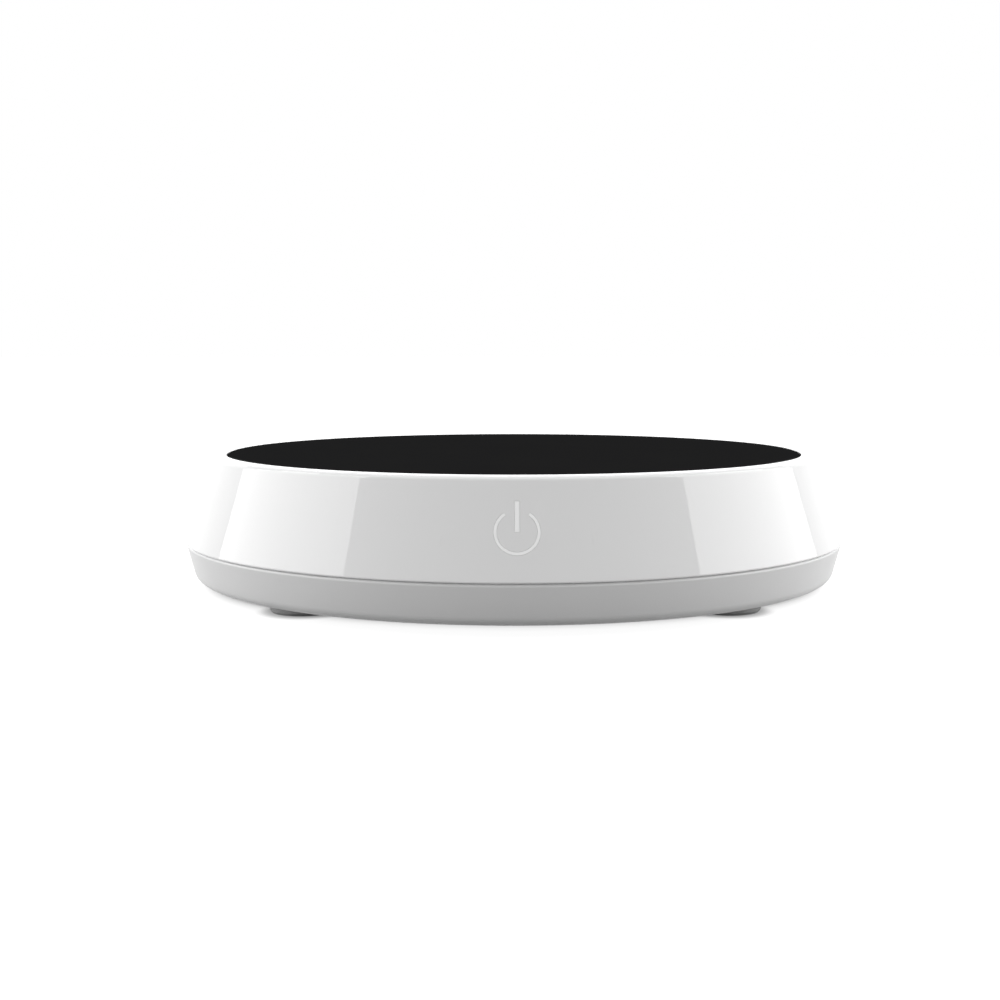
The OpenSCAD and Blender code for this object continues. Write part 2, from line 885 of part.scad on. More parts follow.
module jack_spring_contact() {
    strip_y = plug_d / 2 + tail_t / 2;
    foot_y = jack_h / 2 - tail_t / 2;
    color("silver")
    at_jack() {
        translate([0, strip_y, 0])
            block(tail_w, tail_t, -jack_bore_l, -contact_back - tail_t);
        translate([0, (strip_y + foot_y) / 2, 0])
            block(tail_w, foot_y - strip_y + tail_t, -jack_bore_l - tail_t, -jack_bore_l);
    }
}

module heater_leads() {
    top = pad_z;
    bottom = board_top_z + header_h;
    color("firebrick")
    for (side = [-1, 1])
        wire([
            [side * header_w / 4, heater_lead_y, top],
            [side * header_w / 4, heater_lead_y, bottom]
        ], lead_d / 2);
}

module fuse_leads() {
    middle = pad_z - fuse_d / 2;
    low = clamp_under_z - sensor_lead_d;
    color("firebrick") {
        wire([
            [fuse_x, fuse_y + fuse_len, middle],
            [fuse_x, fuse_y + fuse_len + fuse_bend, middle],
            [fuse_x, fuse_y + fuse_len + fuse_bend, low],
            [-header_w / 2 - fuse_bend, heater_lead_y, board_top_z + header_h / 2],
            [-header_w / 2, heater_lead_y, board_top_z + header_h / 2]
        ], sensor_lead_d / 2);
        wire([
            [fuse_x, fuse_y, middle],
            [fuse_x, fuse_y - fuse_bend, middle],
            [fuse_x, fuse_y - fuse_bend, pad_z]
        ], sensor_lead_d / 2);
    }
}

module thermistor_leads() {
    start = pad_z - thermistor_len;
    top = board_top_z + header_h;
    low = (start + top) / 2;
    color("dimgray")
    for (side = [-1, 1])
        wire([
            [side * thermistor_d / 4, 0, start],
            [side * thermistor_d / 4, 0, low],
            [sensor_header_x + side * header_w / 4, touch_header_y, low],
            [sensor_header_x + side * header_w / 4, touch_header_y, top]
        ], sensor_lead_d / 2);
}

module touch_ribbon() {
    ribbon_reach = 2.5;
    inward = [cos(upper_lean), -sin(upper_lean)];
    down = [-sin(upper_lean), -cos(upper_lean)];
    board_back = [-wall_frame_r, symbol_z] + inward * (key_board_t - key_board_face) + down * key_drop;
    turn = board_back + inward * ribbon_reach;
    low = floor_z + ribbon_t / 2;
    board_edge = board_mid_y - board_l / 2;
    high = board_top_z + header_h / 2;
    color("lightgray")
    strip([
        board_back,
        turn,
        [turn.x, low],
        [board_edge - ribbon_reach, low],
        [board_edge - ribbon_reach, high],
        [touch_header_y - header_l / 2, high]
    ], ribbon_w, ribbon_t);
}

module touch_board() {
    color("seagreen")
    at_wall()
        translate([0, -key_drop, 0])
            difference() {
                block(key_board_w, key_board_h, key_board_face - key_board_t, key_board_face);
                for (side = [-1, 1])
                    translate([side * key_post_x, 0, 0])
                        disc(key_screw_d / 2 + 2 * screw_gap, key_board_face - key_board_t - EPS, key_board_face + EPS);
            }
}

module touch_board_screws() {
    color("silver")
    for (side = [-1, 1])
        at_wall()
            translate([side * key_post_x, -key_drop, key_board_face - key_board_t])
                small_screw(key_screw_d, spring_l - key_screw_d);
}

// Points of one wire section of the touch spring, at a share s of its length
function spring_section(s, sides) =
    let (
        coil_r = (spring_d - spring_wire_d) / 2,
        turn = 360 * spring_turns * s,
        rise = (spring_l - spring_wire_d) * s + spring_wire_d / 2
    )
    [for (k = [0:sides - 1])
        let (a = 360 * k / sides, reach = coil_r + spring_wire_d / 2 * cos(a))
        [reach * cos(turn), reach * sin(turn), rise + spring_wire_d / 2 * sin(a)]];

module touch_spring() {
    sides = 6;
    steps = spring_turns * 16;
    rings = [for (i = [0:steps]) each spring_section(i / steps, sides)];
    side_faces = [for (i = [0:steps - 1], k = [0:sides - 1])
        [i * sides + k, i * sides + (k + 1) % sides, (i + 1) * sides + (k + 1) % sides, (i + 1) * sides + k]];
    start_cap = [for (k = [0:sides - 1]) sides - 1 - k];
    end_cap = [for (k = [0:sides - 1]) steps * sides + k];
    color("silver")
    at_wall()
        translate([0, -key_drop, key_board_face])
            polyhedron(points = rings, faces = concat([start_cap], side_faces, [end_cap]), convexity = 4);
}

module indicator_led() {
    color("white")
    at_wall()
        translate([0, -key_drop, 0])
            block(led_w, led_l, key_board_face, key_board_face + led_h);
}

upper_shell();
lower_shell();
glass_plate();
glass_seal_ring();
power_symbol();
foot_front_left();
foot_front_right();
foot_rear_left();
foot_rear_right();
case_screws();
heat_spreader();
heating_film();
insulating_pad();
heater_clamp_plate();
clamp_screws();
thermistor();
thermal_fuse();
control_board();
board_screws();
main_chip();
power_transistor();
inductor();
smoothing_capacitors();
chip_resistors();
heater_header();
sensor_header();
touch_header();
jack_housing();
jack_centre_pin();
jack_spring_contact();
heater_leads();
fuse_leads();
thermistor_leads();
touch_ribbon();
touch_board();
touch_board_screws();
touch_spring();
indicator_led();
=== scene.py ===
# %% [markdown]
# # An electric mug warmer in Blender
#
# A mug warmer is a low round case with a glass plate on top. Its shells, screws and boards come
# from a CAD model at their true size. This script loads them as a fixed frame, sets up a small
# studio, gives every surface its finish, and models the pieces that a CAD solid leaves plain.
#
# Lengths are in metres, because Blender's are. MM turns a size in millimetres into metres.

# %% Load the CAD frame
import math

import bpy
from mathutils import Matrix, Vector


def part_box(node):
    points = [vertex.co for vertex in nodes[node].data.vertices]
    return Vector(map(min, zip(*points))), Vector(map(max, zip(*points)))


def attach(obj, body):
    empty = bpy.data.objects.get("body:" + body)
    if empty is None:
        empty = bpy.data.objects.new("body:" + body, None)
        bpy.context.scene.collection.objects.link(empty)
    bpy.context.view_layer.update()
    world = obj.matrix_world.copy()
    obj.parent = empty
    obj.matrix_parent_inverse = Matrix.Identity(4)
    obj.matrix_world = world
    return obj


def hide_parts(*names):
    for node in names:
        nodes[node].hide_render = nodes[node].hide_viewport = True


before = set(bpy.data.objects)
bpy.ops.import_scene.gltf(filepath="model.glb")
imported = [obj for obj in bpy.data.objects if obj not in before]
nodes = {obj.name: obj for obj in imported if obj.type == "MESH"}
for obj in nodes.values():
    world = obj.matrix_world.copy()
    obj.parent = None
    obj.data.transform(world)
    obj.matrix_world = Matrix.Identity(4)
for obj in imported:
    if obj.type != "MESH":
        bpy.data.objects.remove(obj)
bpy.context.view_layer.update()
MM = 0.001
scene = bpy.context.scene
print("loaded", len(nodes), "CAD nodes")

# %% [markdown]
# ## Camera
#
# The view is nearly level: the camera stands just above the height of the rim and looks slightly
# down, so the glass shows as a thin dark ellipse. The camera is set by an aim point, a distance,
# an elevation and a small turn round the Z axis, because those four are easy to reason about. A
# look-at point and `to_track_quat` then give its rotation. The shift slides the frame without
# changing the perspective, as a view camera's rise does.

# %% Camera
AIM = Vector((0, 0, 9.7 * MM))
CAMERA_DISTANCE = 286.9 * MM
CAMERA_ELEVATION = math.radians(7.216)
CAMERA_TURN = math.radians(-0.46)
SENSOR_WIDTH = 36
FOCAL_LENGTH = 50.89
SHIFT = (-0.0139, 0.03)


def direction(azimuth, elevation):
    """Unit vector towards an azimuth, measured from the front, and an elevation, in radians."""
    flat = math.cos(elevation)
    return Vector((math.sin(azimuth) * flat, -math.cos(azimuth) * flat, math.sin(elevation)))


lens = bpy.data.cameras.new("camera")
lens.sensor_width = SENSOR_WIDTH
lens.lens = FOCAL_LENGTH
lens.shift_x, lens.shift_y = SHIFT
lens.clip_start = 10 * MM
camera = bpy.data.objects.new("camera", lens)
towards_camera = direction(CAMERA_TURN, CAMERA_ELEVATION)
camera.location = AIM + towards_camera * CAMERA_DISTANCE
camera.rotation_euler = (-towards_camera).to_track_quat("-Z", "Y").to_euler()
scene.collection.objects.link(camera)
scene.camera = camera
print("camera at", [round(x / MM, 1) for x in camera.location], "mm")

# %% [markdown]
# ## Light
#
# Glossy plastic shows its lamps as much as its own colour. Two upright softboxes stand left and
# right of the case. The sloping wall mirrors each as a bright field with crisp upright edges, and
# the grey middle between them is the dark part of the studio. A wide lamp overhead lights the rim
# and the floor, and two weaker panels behind the case lift its silhouette. Those two meet edge to
# edge, since lamps add up where they overlap and the glass would mirror that. The overhead lamp is
# hidden from reflections, because its edge would draw a line across the black glass. An area
# lamp's power is worked out from the brightness of its face, so a lamp can change size and look
# the same.

# %% Lamps
scene.view_settings.view_transform = "Standard"
AREA_LAMP_FACTOR = 4
LAMP_DISTANCE = 0.9
OVERHEAD_SIZE = 1.6
OVERHEAD_HEIGHT = 1.1


def panel(name, azimuth, width, height, brightness):
    """Upright lamp that stands on the floor and faces the case from an azimuth in degrees."""
    turn = math.radians(azimuth)
    lamp = bpy.data.lights.new(name, "AREA")
    lamp.shape = "RECTANGLE"
    lamp.size = width
    lamp.size_y = height
    lamp.energy = brightness * AREA_LAMP_FACTOR * width * height
    placed = bpy.data.objects.new(name, lamp)
    placed.location = direction(turn, 0) * LAMP_DISTANCE + Vector((0, 0, height / 2))
    placed.rotation_euler = (math.pi / 2, 0, turn)
    scene.collection.objects.link(placed)
    return placed


panel("softbox_left", azimuth=-85.8, width=0.973, height=1, brightness=1.98)
panel("softbox_right", azimuth=90.75, width=0.967, height=1, brightness=2.04)
panel("rear_panel_left", azimuth=-146, width=1.2, height=0.5, brightness=0.5)
panel("rear_panel_right", azimuth=148.31, width=1.1248, height=0.5, brightness=0.5)

overhead = panel("overhead", azimuth=0, width=OVERHEAD_SIZE, height=OVERHEAD_SIZE, brightness=0.8)
overhead.location = (0, 0, OVERHEAD_HEIGHT)
overhead.rotation_euler = (0, 0, 0)
overhead.visible_glossy = False

# %% [markdown]
# ## World and floor
#
# Both get materials made of nodes. A few helpers keep those short: each adds one kind of node,
# gives its inputs a number or a link, and hands back the output that is wanted.

# %% Node helpers
def add_node(tree, kind, **settings):
    """Add a shader node and set its properties."""
    node = tree.nodes.new("ShaderNode" + kind)
    for key, value in settings.items():
        setattr(node, key, value)
    return node


def feed(tree, value, socket):
    """Give a socket a number, or link another socket to it."""
    if isinstance(value, (int, float)):
        socket.default_value = value
    else:
        tree.links.new(value, socket)


def math_node(tree, operation, first, second):
    """Math node of two inputs, each a number or a socket. Gives its output."""
    node = add_node(tree, "Math", operation=operation)
    feed(tree, first, node.inputs[0])
    feed(tree, second, node.inputs[1])
    return node.outputs[0]


def vector_node(tree, operation, vector):
    """Vector Math node on one vector. Gives the node."""
    node = add_node(tree, "VectorMath", operation=operation)
    tree.links.new(vector, node.inputs[0])
    return node


def map_range(tree, value, low, high, to_low=0, to_high=1, curve="SMOOTHSTEP"):
    """Map a value from the range low to high onto another. Each end is a number or a socket."""
    node = add_node(tree, "MapRange", interpolation_type=curve)
    labels = ("Value", "From Min", "From Max", "To Min", "To Max")
    for label, end in zip(labels, (value, low, high, to_low, to_high)):
        feed(tree, end, node.inputs[label])
    return node.outputs["Result"]


def coordinates(tree):
    """Object coordinates, which are the model's own metres."""
    return add_node(tree, "TexCoord").outputs["Object"]


def axes(tree):
    """Object coordinates, split into X, Y and Z."""
    node = add_node(tree, "SeparateXYZ")
    tree.links.new(coordinates(tree), node.inputs[0])
    return node.outputs


def sees_background(tree):
    """1 on rays that show the background: camera, glossy and transmission rays."""
    rays = add_node(tree, "LightPath").outputs
    seen = math_node(tree, "MAXIMUM", rays["Is Camera Ray"], rays["Is Glossy Ray"])
    return math_node(tree, "MAXIMUM", seen, rays["Is Transmission Ray"])


print("node helpers ready")

# %% [markdown]
# The background is white to the camera, to reflections and to glass, yet it must not flood the
# case with light. A Light Path node tells those rays apart: they see full white, and the rays that
# carry diffuse light see a dimmer world.

# %% World
AMBIENT = 0.385
WHITE = (1, 1, 1, 1)

world = bpy.data.worlds.new("studio")
world.use_nodes = True
scene.world = world
tree = world.node_tree
sky = tree.nodes["Background"]
sky.inputs["Color"].default_value = WHITE
extra = math_node(tree, "MULTIPLY", sees_background(tree), 1 - AMBIENT)
tree.links.new(math_node(tree, "ADD", extra, AMBIENT), sky.inputs["Strength"])
print("the world is white to the camera and", AMBIENT, "to the case")

# %% [markdown]
# The floor does the same. It adds some glow of its own for the camera, so it renders white, while
# its diffuse part still takes the soft shadow under the case. Under the case that glow fades out
# between two ellipses, and a little more round each foot, because a case that stands in full glow
# seems to float.
#
# A floor also throws light back up. The part in the case's own shadow throws back almost none, so
# diffuse rays see a dark ring round the foot of the case, which fades into the plain floor. That
# keeps the rounded bottom edge dark, as it is on a real table.

# %% Shades of the floor
SHADOW_INNER = (59.3 * MM, 48.1 * MM)
SHADOW_OUTER = (63 * MM, 57 * MM)
SHADOW_DEPTH = 0.85
FOOT_AT = 37.5 * MM
FOOT_SHADOW = (5.5 * MM, 9 * MM)
FOOT_SHADOW_DEPTH = 0.6
CONTACT = (60 * MM, 71 * MM)
CONTACT_BOUNCE = 0.02
FLOOR_BOUNCE = 0.4


def ellipse_radius(tree, half_axes):
    """1 on an ellipse round the origin of the floor, less inside it and more outside."""
    scaled = add_node(tree, "Mapping")
    scaled.inputs["Scale"].default_value = (1 / half_axes[0], 1 / half_axes[1], 0)
    tree.links.new(coordinates(tree), scaled.inputs["Vector"])
    return vector_node(tree, "LENGTH", scaled.outputs["Vector"]).outputs["Value"]


def outside_shadow(tree):
    """1 on the open floor, fading between two ellipses towards the shadow under the case."""
    inner = ellipse_radius(tree, SHADOW_INNER)
    outer = ellipse_radius(tree, SHADOW_OUTER)
    past_inner = math_node(tree, "SUBTRACT", inner, 1)
    way_across = math_node(tree, "SUBTRACT", inner, outer)
    share = math_node(tree, "DIVIDE", past_inner, way_across)
    share = math_node(tree, "MAXIMUM", share, 0)
    share = math_node(tree, "MINIMUM", share, 1)
    dark = math_node(tree, "SUBTRACT", 1, share)
    dark = math_node(tree, "MULTIPLY", dark, dark)
    dark = math_node(tree, "MULTIPLY", dark, SHADOW_DEPTH)
    return math_node(tree, "SUBTRACT", 1, dark)


def outside_foot_shadow(tree):
    """1 on the open floor, fading towards the nearest foot. One foot is met in all four quarters."""
    one_quarter = vector_node(tree, "ABSOLUTE", coordinates(tree)).outputs["Vector"]
    from_foot = vector_node(tree, "DISTANCE", one_quarter)
    from_foot.inputs[1].default_value = (FOOT_AT, FOOT_AT, 0)
    return map_range(tree, from_foot.outputs["Value"], *FOOT_SHADOW, to_low=1 - FOOT_SHADOW_DEPTH)


def bounce_near_case(tree):
    """Shade of the floor to diffuse rays: dark round the case's foot, plain further out."""
    radius = vector_node(tree, "LENGTH", coordinates(tree)).outputs["Value"]
    return map_range(tree, radius, *CONTACT, CONTACT_BOUNCE, FLOOR_BOUNCE)


print("shadow fades out at", [round(half / MM) for half in SHADOW_OUTER], "mm")

# %% Floor
FLOOR_SIZE = 20
FLOOR_SEEN = 0.25
FLOOR_GLOW = 0.95

bpy.ops.object.select_all(action="DESELECT")
bpy.ops.mesh.primitive_plane_add(size=FLOOR_SIZE)
floor = bpy.context.object
floor.name = "floor"
paper = bpy.data.materials.new("floor_paper")
paper.use_nodes = True
tree = paper.node_tree
shader = tree.nodes["Principled BSDF"]
shader.inputs["Roughness"].default_value = 1
shader.inputs["Specular IOR Level"].default_value = 0
shader.inputs["Emission Color"].default_value = WHITE
glow = math_node(tree, "MULTIPLY", sees_background(tree), FLOOR_GLOW)
glow = math_node(tree, "MULTIPLY", glow, outside_shadow(tree))
glow = math_node(tree, "MULTIPLY", glow, outside_foot_shadow(tree))
tree.links.new(glow, shader.inputs["Emission Strength"])
by_ray = add_node(tree, "Mix", data_type="RGBA")
tree.links.new(sees_background(tree), by_ray.inputs["Factor"])
tree.links.new(bounce_near_case(tree), by_ray.inputs["A"])
by_ray.inputs["B"].default_value = (FLOOR_SEEN, FLOOR_SEEN, FLOOR_SEEN, 1)
tree.links.new(by_ray.outputs["Result"], shader.inputs["Base Color"])
floor.data.materials.append(paper)
print("floor of", FLOOR_SIZE, "m")

# %% [markdown]
# ## Node groups for shared effects
#
# Real surfaces are never quite even. Three effects return on most of them, so each is a node group
# built once and placed in a material with that material's own numbers. *Grain* is the fine relief
# of a mould, of rubber or of fibre. *Handling* is a slow, faint change, as left by cleaning and
# fingers, and drives roughness or shade. *Brushing* is relief that runs in one direction, as on
# rolled or turned metal. All of them read Object coordinates, which are the model's own metres.

# %% Noise groups
NOISE_RANGE = (0.3, 0.7)


def noise_group(name, scale, detail, stretch=None):
    """Node group of noise. The range in which most noise lies is mapped onto Low to High."""
    group = bpy.data.node_groups.new(name, "ShaderNodeTree")
    for label, value in (("Scale", scale), ("Low", 0), ("High", 1)):
        socket = group.interface.new_socket(label, in_out="INPUT", socket_type="NodeSocketFloat")
        socket.default_value = value
    group.interface.new_socket("Value", in_out="OUTPUT", socket_type="NodeSocketFloat")
    entry = group.nodes.new("NodeGroupInput")
    place = coordinates(group)
    if stretch:
        mapping = add_node(group, "Mapping")
        mapping.inputs["Scale"].default_value = stretch
        group.links.new(place, mapping.inputs["Vector"])
        place = mapping.outputs["Vector"]
    noise = add_node(group, "TexNoise")
    noise.inputs["Detail"].default_value = detail
    group.links.new(place, noise.inputs["Vector"])
    group.links.new(entry.outputs["Scale"], noise.inputs["Scale"])
    ends = (entry.outputs["Low"], entry.outputs["High"])
    value = map_range(group, noise.outputs["Fac"], *NOISE_RANGE, *ends, curve="LINEAR")
    group.links.new(value, group.nodes.new("NodeGroupOutput").inputs[0])
    return group


grain = noise_group("grain", scale=3000, detail=3)
handling = noise_group("handling", scale=40, detail=5)
brushing = noise_group("brushing", scale=900, detail=2, stretch=(0.03, 1, 1))
print("groups:", [group.name for group in bpy.data.node_groups])

# %% [markdown]
# ## Finishes
#
# A maker would write each finish as a line in a list: a colour, how glossy it is, how its relief
# runs and how deep. `finish` reads such a line and builds the material. What is the same all over
# goes straight on the shader. What varies comes from a group: shade and roughness from *handling*,
# relief from *grain* or *brushing* through a Bump node. Roughness varies in finer patches than
# shade, so that the two don't coincide.

# %% Finish builder
ROUGH_PATCH = 2.7


def place_group(tree, group, scale, low, high):
    """Place a group in a material with its own numbers. Gives its value."""
    node = add_node(tree, "Group", node_tree=group)
    for label, value in (("Scale", scale), ("Low", low), ("High", high)):
        node.inputs[label].default_value = value
    return node.outputs["Value"]


def shades(tree, mask, colour, change):
    """Colour that varies by a share of itself, where the mask runs from 0 to 1."""
    mix = add_node(tree, "Mix", data_type="RGBA")
    mix.inputs["A"].default_value = [c * (1 - change) for c in colour] + [1]
    mix.inputs["B"].default_value = [min(1, c * (1 + change)) for c in colour] + [1]
    tree.links.new(mask, mix.inputs["Factor"])
    return mix.outputs["Result"]


def relief(tree, height, depth):
    """Bump from a height between 0 and 1, depth metres deep. Gives its normal."""
    bump = add_node(tree, "Bump")
    bump.inputs["Distance"].default_value = depth
    tree.links.new(height, bump.inputs["Height"])
    return bump.outputs["Normal"]


def finish(name, colour, rough, change=0.03, patch=60, texture=grain, fine=3000, depth=0.01, **plain):
    """Material from one line: colour, (lowest, highest) roughness, change of shade, scale of its
    patches, relief group, its scale and its depth in mm. The rest are sockets of the shader."""
    material = bpy.data.materials.new(name)
    material.use_nodes = True
    tree = material.node_tree
    shader = tree.nodes["Principled BSDF"]
    mask = place_group(tree, handling, patch, 0, 1)
    tree.links.new(shades(tree, mask, colour, change), shader.inputs["Base Color"])
    tree.links.new(place_group(tree, handling, patch * ROUGH_PATCH, *rough), shader.inputs["Roughness"])
    height = place_group(tree, texture, fine, 0, 1)
    tree.links.new(relief(tree, height, depth * MM), shader.inputs["Normal"])
    for label, value in plain.items():
        shader.inputs[label.replace("_", " ")].default_value = value
    return material


def printed(material, mask, colour):
    """Lay a second colour over a finish where the mask is high."""
    tree = material.node_tree
    shader = tree.nodes["Principled BSDF"]
    mix = add_node(tree, "Mix", data_type="RGBA")
    mix.inputs["B"].default_value = (*colour, 1)
    tree.links.new(shader.inputs["Base Color"].links[0].from_socket, mix.inputs["A"])
    tree.links.new(mask, mix.inputs["Factor"])
    tree.links.new(mix.outputs["Result"], shader.inputs["Base Color"])


def wear(material, *names):
    """Give CAD nodes a finish."""
    for name in names:
        nodes[name].data.materials.clear()
        nodes[name].data.materials.append(material)


print("finish builder ready")

# %% [markdown]
# The upper shell is polished, so it has almost no relief. The lower one is satin, a texture that is
# etched into its mould. Just under the seam, a narrow band of it is painted lighter. This painted
# highlight stands in for the light that the shell's rounded top edge would catch there. It is made
# like a print: a second colour over the finish, between two heights.

# %% Outer finishes
# Painted highlight: between these two heights under the seam, the satin shell is painted lighter.
PAINTED_HIGHLIGHT_BAND = (8.6 * MM, 8.85 * MM)
PAINTED_HIGHLIGHT_WHITE = (0.8, 0.8, 0.8)
BRUSHED = {"texture": brushing, "Metallic": 1.0}

gloss_white = finish("gloss_white", (0.75, 0.75, 0.75), (0.02, 0.035), 0.004, fine=500, depth=0.0003)
satin_grey = finish("satin_grey", (0.675, 0.675, 0.675), (0.36, 0.42), 0.01, fine=2600, depth=0.004)
tree = satin_grey.node_tree
# Lay the painted highlight band over the satin finish.
printed(satin_grey, map_range(tree, axes(tree)["Z"], *PAINTED_HIGHLIGHT_BAND), PAINTED_HIGHLIGHT_WHITE)
inlay = finish("inlay", (0.95, 0.95, 0.95), (0.1, 0.14), 0.004, fine=500, depth=0.0003)
foot_rubber = finish("foot_rubber", (0.55, 0.55, 0.55), (0.6, 0.75), 0.05, fine=2200, depth=0.01)
dark_steel = finish("dark_steel", (0.12, 0.12, 0.125), (0.3, 0.42), 0.1, depth=0.002, **BRUSHED)
wear(gloss_white, "upper_shell")
wear(satin_grey, "lower_shell")
wear(inlay, "power_symbol")
print("outer finishes:", len(bpy.data.materials))

# %% [markdown]
# ## Glass
#
# The plate is toughened glass printed black on its underside. Seen from the height of a desk it is
# a dense, even black. From above it is glossy. The black is the shader's base, with no gloss of its
# own, and the glass over it is the coat. A Layer Weight node takes the coat back at the very
# flattest angles, as a polarising filter does in front of a lens.

# %% Black glass
GLASS_COAT = 0.3
COAT_FADE = (0.6, 0.88)

black_glass = finish("black_glass", (0.0112, 0.0112, 0.0114), (0.55, 0.6), 0.02, depth=0.0002,
                     Specular_IOR_Level=0.0, Coat_Roughness=0.03)
tree = black_glass.node_tree
facing_away = add_node(tree, "LayerWeight").outputs["Facing"]
coat = map_range(tree, facing_away, *COAT_FADE, GLASS_COAT, 0)
tree.links.new(coat, tree.nodes["Principled BSDF"].inputs["Coat Weight"])
wear(black_glass, "glass_plate")
print("coat of the glass:", GLASS_COAT)

# %% [markdown]
# ## Finishes inside the case
#
# The inside is never lit on a shelf, but a repairer sees it, so each material there gets its own
# line too. Metals are told apart by their shade and by the direction of their polish. Rubber and
# silicone are rough, and moulded nylon is slightly waxy.

# %% Inner finishes
silicone = finish("silicone", (0.6, 0.6, 0.58), (0.5, 0.62), 0.03, fine=1800, depth=0.006)
aluminium = finish("aluminium", (0.75, 0.75, 0.76), (0.24, 0.36), 0.04, depth=0.003, **BRUSHED)
plated_steel = finish("plated_steel", (0.6, 0.6, 0.6), (0.26, 0.4), 0.06, depth=0.002, **BRUSHED)
nickel = finish("nickel", (0.7, 0.68, 0.62), (0.14, 0.24), 0.03, fine=4000, depth=0.001, Metallic=1.0)
brass = finish("brass", (0.7, 0.5, 0.2), (0.2, 0.34), 0.08, fine=3000, depth=0.002, Metallic=1.0)
fibre_pad = finish("fibre_pad", (0.85, 0.84, 0.8), (0.85, 0.95), 0.08, patch=400, fine=1400, depth=0.12)
black_plastic = finish("black_plastic", (0.03, 0.03, 0.03), (0.32, 0.45), 0.1, fine=4200, depth=0.006)
ferrite = finish("ferrite", (0.12, 0.12, 0.13), (0.5, 0.65), 0.12, patch=300, fine=5000, depth=0.01)
nylon = finish("nylon_natural", (0.8, 0.78, 0.7), (0.35, 0.48), 0.02, fine=2600, depth=0.004)
red_silicone = finish("red_silicone", (0.5, 0.04, 0.03), (0.38, 0.5), 0.05, fine=2500, depth=0.004)
black_lead = finish("black_lead", (0.03, 0.03, 0.03), (0.35, 0.5), 0.1, fine=2500, depth=0.004)
ribbon_grey = finish("ribbon_grey", (0.5, 0.5, 0.5), (0.35, 0.48), 0.03, fine=2500, depth=0.004)
lamp_white = finish("lamp_white", (0.85, 0.85, 0.75), (0.2, 0.3), 0.01, fine=4000, depth=0.001)
print("finishes:", len(bpy.data.materials))

# %% [markdown]
# Two finishes have a printed pattern. Under the lacquer of a circuit board run parallel copper
# tracks, which show as a lighter green. They are a sine across the board, and where the position
# along the board passes a bend they step aside at 45 degrees, as tracks are laid. The heating film
# has an etched track that winds in rings between two amber foils, and a Wave texture draws it.

# %% Patterned finishes
TRACK_PITCH = 1.3 * MM
TRACK_STEP = (2.5 * MM, 4.5 * MM)
TRACK_REPEAT = 7 * MM
TRACK_GREEN = (0.06, 0.34, 0.12)
RING_SCALE = 120
RING_GREY = (0.45, 0.42, 0.36)
STRIPE_EDGE = (0.6, 0.7)


def striped(tree, value):
    """1 where a wave is near its crest and 0 elsewhere, with soft edges."""
    return map_range(tree, value, *STRIPE_EDGE, curve="LINEAR")


board_green = finish("board_green", (0.03, 0.2, 0.08), (0.18, 0.28), 0.05, fine=3000, depth=0.002)
tree = board_green.node_tree
place = axes(tree)
aside = math_node(tree, "PINGPONG", place["Y"], TRACK_REPEAT)
aside = math_node(tree, "MAXIMUM", aside, TRACK_STEP[0])
aside = math_node(tree, "MINIMUM", aside, TRACK_STEP[1])
across = math_node(tree, "ADD", place["X"], aside)
phase = math_node(tree, "MULTIPLY", across, 2 * math.pi / TRACK_PITCH)
printed(board_green, striped(tree, math_node(tree, "SINE", phase, 0)), TRACK_GREEN)

amber_film = finish("amber_film", (0.6, 0.3, 0.06), (0.25, 0.35), 0.05, fine=2600, depth=0.002)
tree = amber_film.node_tree
winding = add_node(tree, "TexWave", wave_type="RINGS", rings_direction="Z", wave_profile="SIN")
winding.inputs["Scale"].default_value = RING_SCALE
tree.links.new(coordinates(tree), winding.inputs["Vector"])
printed(amber_film, striped(tree, winding.outputs["Fac"]), RING_GREY)
wear(amber_film, "heating_film")
wear(fibre_pad, "insulating_pad")
wear(plated_steel, "heater_clamp_plate")
wear(nickel, "jack_spring_contact")
print("finishes:", len(bpy.data.materials))

# %% [markdown]
# ## Tools for modelling by hand
#
# Each new piece is made as at the screen: add a primitive, shape it in edit mode, finish it with
# modifiers, then put it in its place. A few helpers keep that short. `start` first deselects
# everything, because an operator acts on all that is selected. `pick` selects faces by the direction
# that they face, as clicks do by hand. A component is shaped round its own origin with its base at
# height zero, so its sizes are easy to read, and it is moved to its place at the end.

# %% Select, edit, modify
import bmesh
from mathutils import Matrix

UP = Vector((0, 0, 1))
BACK = Vector((0, 1, 0))
MERGE = 0.0005 * MM
SLIVER = 0.0002 * MM
SHARP = math.radians(40)


def start(add, name, **settings):
    """Deselect everything, add a primitive and name it."""
    bpy.ops.object.select_all(action="DESELECT")
    add(**settings)
    piece = bpy.context.object
    piece.name = name
    return piece


def only(*pieces):
    """Select these pieces alone and make the first one active."""
    bpy.ops.object.select_all(action="DESELECT")
    for piece in pieces:
        piece.select_set(True)
    bpy.context.view_layer.objects.active = pieces[0]


def settle(piece):
    """Write a piece's place, turn and scale into its mesh."""
    only(piece)
    bpy.ops.object.transform_apply(location=True, rotation=True, scale=True)
    return piece


def edit(piece, action="SELECT"):
    """Enter edit mode with all of a piece selected, or with nothing."""
    only(piece)
    bpy.ops.object.mode_set(mode="EDIT")
    bpy.ops.mesh.select_all(action=action)


def put_down():
    """Leave edit mode."""
    bpy.ops.object.mode_set(mode="OBJECT")


def face_outwards():
    """In edit mode, turn all faces outwards, then leave it."""
    bpy.ops.mesh.select_all(action="SELECT")
    bpy.ops.mesh.normals_make_consistent(inside=False)
    put_down()


def weld():
    """In edit mode, merge what lies together and turn all faces outwards, then leave it."""
    bpy.ops.mesh.select_all(action="SELECT")
    bpy.ops.mesh.remove_doubles(threshold=MERGE)
    face_outwards()


def extrude(step):
    """In edit mode, extrude what is selected by a step in metres."""
    bpy.ops.mesh.extrude_region_move(TRANSFORM_OT_translate={"value": step})


def facing(way):
    """Test for pick: whether a face looks in about one direction."""
    return lambda normal: normal.dot(way) > 0.9


